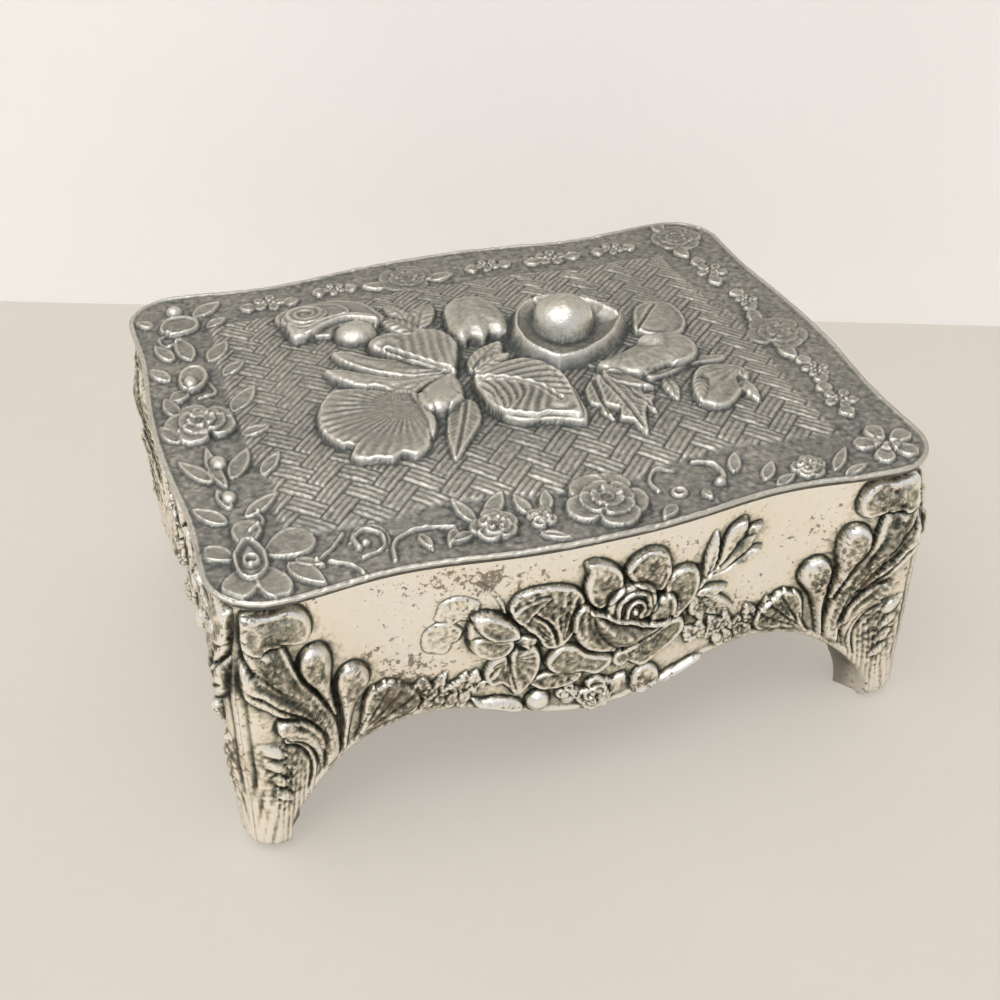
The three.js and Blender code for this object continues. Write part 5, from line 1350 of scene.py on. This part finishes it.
def knuckle(node, body):
    low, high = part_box(node)
    x0, x1 = low.x * 1000, high.x * 1000
    profile = [(BORE_R, x0), (TUBE_R - CHAMFER, x0), (TUBE_R, x0 + CHAMFER),
               (TUBE_R, x1 - CHAMFER), (TUBE_R - CHAMFER, x1), (BORE_R, x1)]
    a = 2 * np.pi * np.arange(TUBE_SIDES) / TUBE_SIDES
    rings = [np.stack([np.full(TUBE_SIDES, x), HINGE_Y + r * np.cos(a), HINGE_Z + r * np.sin(a)], axis=1)
             for r, x in profile]
    k = np.arange(TUBE_SIDES)
    loops = [k + i * TUBE_SIDES for i in range(len(profile))]
    faces = [np.stack([p, np.roll(p, -1), np.roll(q, -1), q], axis=1)
             for p, q in zip(loops, loops[1:] + loops[:1])]
    # the body's leaf is soldered to the wall, the lid's under the lid
    if body == "box_body":
        ys = (HINGE_Y - TUBE_R - LEAF_THICK, HINGE_Y - TUBE_R + LEAF_BITE)
        zs = (HINGE_Z - LEAF_DOWN, HINGE_Z + LEAF_LAP)
    else:
        ys = (HINGE_Y - LEAF_IN, HINGE_Y + LEAF_LAP)
        zs = (HINGE_Z + TUBE_R - LEAF_BITE, HINGE_Z + TUBE_R + LEAF_THICK)
    corners = np.array([(x, y, z) for x in (x0 + LEAF_GAP, x1 - LEAF_GAP) for y in ys for z in zs])
    box = np.array([[0, 1, 3, 2], [4, 6, 7, 5], [0, 4, 5, 1], [2, 3, 7, 6], [0, 2, 6, 4], [1, 5, 7, 3]])
    count = len(profile) * TUBE_SIDES
    obj = make_mesh(node + "_tube", np.concatenate(rings + [corners]), faces + [box + count],
                    KNUCKLE_METAL, flat=True)
    smoothed = np.zeros(len(obj.data.polygons), bool)
    smoothed[:count] = True
    obj.data.polygons.foreach_set("use_smooth", smoothed)
    obj.data.update()
    show(obj, body, node)


for node in ("body_knuckle_left", "body_knuckle_middle", "body_knuckle_right"):
    knuckle(node, "box_body")
for node in ("lid_knuckle_left", "lid_knuckle_right"):
    knuckle(node, "lid_body")

# Velvet lining: the height that it starts at, the pad's cells, the insets of its side and its
# underside, its edge and its puff, then the strips' cells, inset, gap to the lid and thickness
LINING_Z = 19.3
PAD_CELLS, PAD_INSET, PAD_UNDER_INSET, PAD_EDGE, PAD_PUFF, PAD_LIP = (120, 96), 3.5, 4.0, 1.0, 1.25, 0.3
STRIP_CELLS, STRIP_INSET, STRIP_GAP, STRIP_THICK, STRIP_PUFF = (150, 34), 2.3, 1.2, 0.35, 0.5


def velvet_floor():
    n, m = PAD_CELLS
    x, y = coons(BODY_SIDES, PAD_INSET, n, m)
    sx, sy = x / np.abs(x).max(), y / np.abs(y).max()
    edge = np.minimum(1 - np.abs(sx), 1 - np.abs(sy))
    puff = np.sqrt(np.clip(1 - (1 - np.clip(edge / 0.16, 0, 1)) ** 2, 0, 1))
    z = LINING_Z + PAD_EDGE + PAD_PUFF * puff
    z = z + 0.16 * noise(x, y, 9.0, 51) * puff + 0.05 * noise(x, y, 2.2, 52)
    top, loop = grid_points(x, y, z), border_index(n, m)
    side = rim_loop(BODY_SIDES, n, m, PAD_INSET, LINING_Z + PAD_LIP)
    under = rim_loop(BODY_SIDES, n, m, PAD_UNDER_INSET, LINING_Z)
    rings = [loop, np.arange(len(side)) + len(top), np.arange(len(under)) + len(top) + len(side)]
    faces = [quads(m + 1, n + 1)] + bands(rings) + [[list(rings[-1][::-1])]]
    pad = make_mesh("velvet_floor", np.concatenate([top, side, under]), faces, VELVET)
    show(pad, "box_body", "floor_pad")


def velvet_strip(name):
    side = BODY_SIDES[name]
    end = end_of(side) - SEAM
    cols, rows = STRIP_CELLS
    s, up = np.meshgrid(np.linspace(-end, end, cols), np.linspace(0, 1, rows))
    puff = np.clip(1 - np.abs(2 * up - 1) ** 8, 0, 1) * smooth((end - np.abs(s)) / 0.8)
    thick = STRIP_THICK + STRIP_PUFF * puff + 0.04 * noise(s, up * 20, 3.0, 61)
    z = LINING_Z + (WALL_TOP - STRIP_GAP - LINING_Z) * up
    back, face = edge_point(side, s, STRIP_INSET, z), edge_point(side, s, STRIP_INSET + thick, z)
    points = np.concatenate([face.reshape(-1, 3), back.reshape(-1, 3)])
    shift, top = rows * cols, (rows - 1) * cols
    i = np.arange(cols - 1)
    low, high = np.arange(rows - 1) * cols, np.arange(rows - 1) * cols + cols - 1
    faces = [quads(rows, cols, flip=True), quads(rows, cols, shift=shift),
             np.stack([i, i + 1, i + 1 + shift, i + shift], axis=1),
             np.stack([top + i, top + i + shift, top + i + 1 + shift, top + i + 1], axis=1),
             np.stack([low, low + shift, low + cols + shift, low + cols], axis=1),
             np.stack([high, high + cols, high + cols + shift, high + shift], axis=1)]
    strip = make_mesh(f"{name}_velvet", points, faces, VELVET)
    show(strip, "box_body", f"{name}_lining")


velvet_floor()
for side_name in SIDE_NAMES:
    velvet_strip(side_name)


# Paper of the floor and the backdrop. lit is its own light as the camera sees it, dim is how much
# of the studio's light the camera doesn't see on it, and it is clear from behind
def paper(name, colour, tint, lit, dim):
    n = Nodes(name)
    cloud, grain = n.noise(14, 3, 0.5), n.noise(400, 3, 0.5)
    t = n.add(n.mul(cloud, 0.8), n.mul(grain, 0.2))
    shade = n.ramp(t, [(0.3, tint), (0.7, colour)])
    seen = n.new("ShaderNodeLightPath").outputs["Is Camera Ray"]
    n.set("Base Color", n.mix(n.mul(seen, dim), shade, grey(0.0)))
    n.set("Roughness", 0.8)
    n.set("Emission Color", shade)
    n.set("Emission Strength", n.mul(seen, lit))
    clear = n.new("ShaderNodeBsdfTransparent").outputs[0]
    behind = n.new("ShaderNodeMixShader")
    n.link(n.new("ShaderNodeNewGeometry").outputs["Backfacing"], behind.inputs[0])
    n.link(n.shader.outputs[0], behind.inputs[1])
    n.link(clear, behind.inputs[2])
    n.link(behind.outputs[0], n.tree.nodes["Material Output"].inputs["Surface"])
    return n.material


# The camera, fitted to the photograph. FOCAL is in widths of the picture
RIGHT = Vector((0.945420834, -0.325850671, 0.000886737))
UP = Vector((0.190742271, 0.555620518, 0.809260913))
FORWARD = Vector((0.264190901, 0.764922990, -0.587448711))
EYE = Vector((-0.060912, -0.174789, 0.155017))
FOCAL, PICTURE, SENSOR = 1.47027, 1000, 36
# Two pixels on the line where the floor meets the backdrop, and the stage's size in metres
MEETING_LEFT, MEETING_RIGHT = (0, 301), (1000, 326)
STAGE_HALF, STAGE_TALL = 1.5, 1.0


def on_floor(px, py):
    across, down = (px / PICTURE - 0.5) / FOCAL, (0.5 - py / PICTURE) / FOCAL
    ray = FORWARD + RIGHT * across + UP * down
    return EYE + ray * (-EYE.z / ray.z)


def stage_plane(name, corners, material):
    points = np.array([list(c * 1000) for c in corners])
    make_mesh(name, points, [np.array([[0, 1, 2, 3]])], material, flat=True)


def build_stage():
    floor_paper = paper("floor_paper", (0.83, 0.77, 0.69), (0.79, 0.73, 0.65), lit=0.45, dim=0.55)
    wall_paper = paper("wall_paper", (0.86, 0.84, 0.81), (0.83, 0.81, 0.78), lit=0.24, dim=0.0)
    a, b = on_floor(*MEETING_LEFT), on_floor(*MEETING_RIGHT)
    along = (b - a).normalized() * STAGE_HALF
    away = Vector((-along.y, along.x, 0))
    left, right = (a + b) / 2 - along, (a + b) / 2 + along
    tall = Vector((0, 0, STAGE_TALL))
    stage_plane("floor", [left - away, right - away, right, left], floor_paper)
    stage_plane("backdrop", [left, right, right + tall, left + tall], wall_paper)


# An even sky, brighter above, and one large soft lamp
SKY_LOW, SKY_HIGH, SKY_TOP, SKY_STRENGTH = (0.74, 0.74, 0.74), (0.95, 0.95, 0.97), 0.9, 0.78
LAMP_PLACE, LAMP_SIZE, LAMP_POWER, LAMP_COLOUR = (-0.25, -0.12, 0.75), 0.7, 2.6, (1.0, 0.99, 0.97)
LAMP_AIM = (0, 0, 0.03)


def build_sky():
    world = bpy.data.worlds.new("studio")
    bpy.context.scene.world = world
    world.use_nodes = True
    tree = world.node_tree
    coords = tree.nodes.new("ShaderNodeTexCoord")
    split = tree.nodes.new("ShaderNodeSeparateXYZ")
    fade = tree.nodes.new("ShaderNodeValToRGB")
    for element, place, colour in zip(fade.color_ramp.elements, (0.0, SKY_TOP), (SKY_LOW, SKY_HIGH)):
        element.position, element.color = place, (*colour, 1)
    tree.links.new(coords.outputs["Generated"], split.inputs[0])
    tree.links.new(split.outputs["Z"], fade.inputs["Fac"])
    tree.links.new(fade.outputs["Color"], tree.nodes["Background"].inputs["Color"])
    tree.nodes["Background"].inputs["Strength"].default_value = SKY_STRENGTH


def build_lamp():
    data = bpy.data.lights.new("key", "AREA")
    data.shape = "SQUARE"
    data.size, data.energy, data.color = LAMP_SIZE, LAMP_POWER, LAMP_COLOUR
    lamp = bpy.data.objects.new("key", data)
    lamp.location = LAMP_PLACE
    lamp.rotation_mode = "QUATERNION"
    lamp.rotation_quaternion = (Vector(LAMP_AIM) - Vector(LAMP_PLACE)).to_track_quat("-Z", "Y")
    bpy.context.scene.collection.objects.link(lamp)


def build_camera():
    camera = bpy.data.objects.new("camera", bpy.data.cameras.new("camera"))
    camera.data.sensor_width = SENSOR
    camera.data.lens = SENSOR * FOCAL
    camera.data.clip_start, camera.data.clip_end = 0.01, 10
    turn = Matrix((RIGHT, UP, -FORWARD)).transposed()
    camera.matrix_world = Matrix.Translation(EYE) @ turn.to_4x4()
    bpy.context.scene.collection.objects.link(camera)
    bpy.context.scene.camera = camera


build_stage()
build_sky()
build_lamp()
build_camera()
bpy.context.scene.view_settings.view_transform = "Standard"
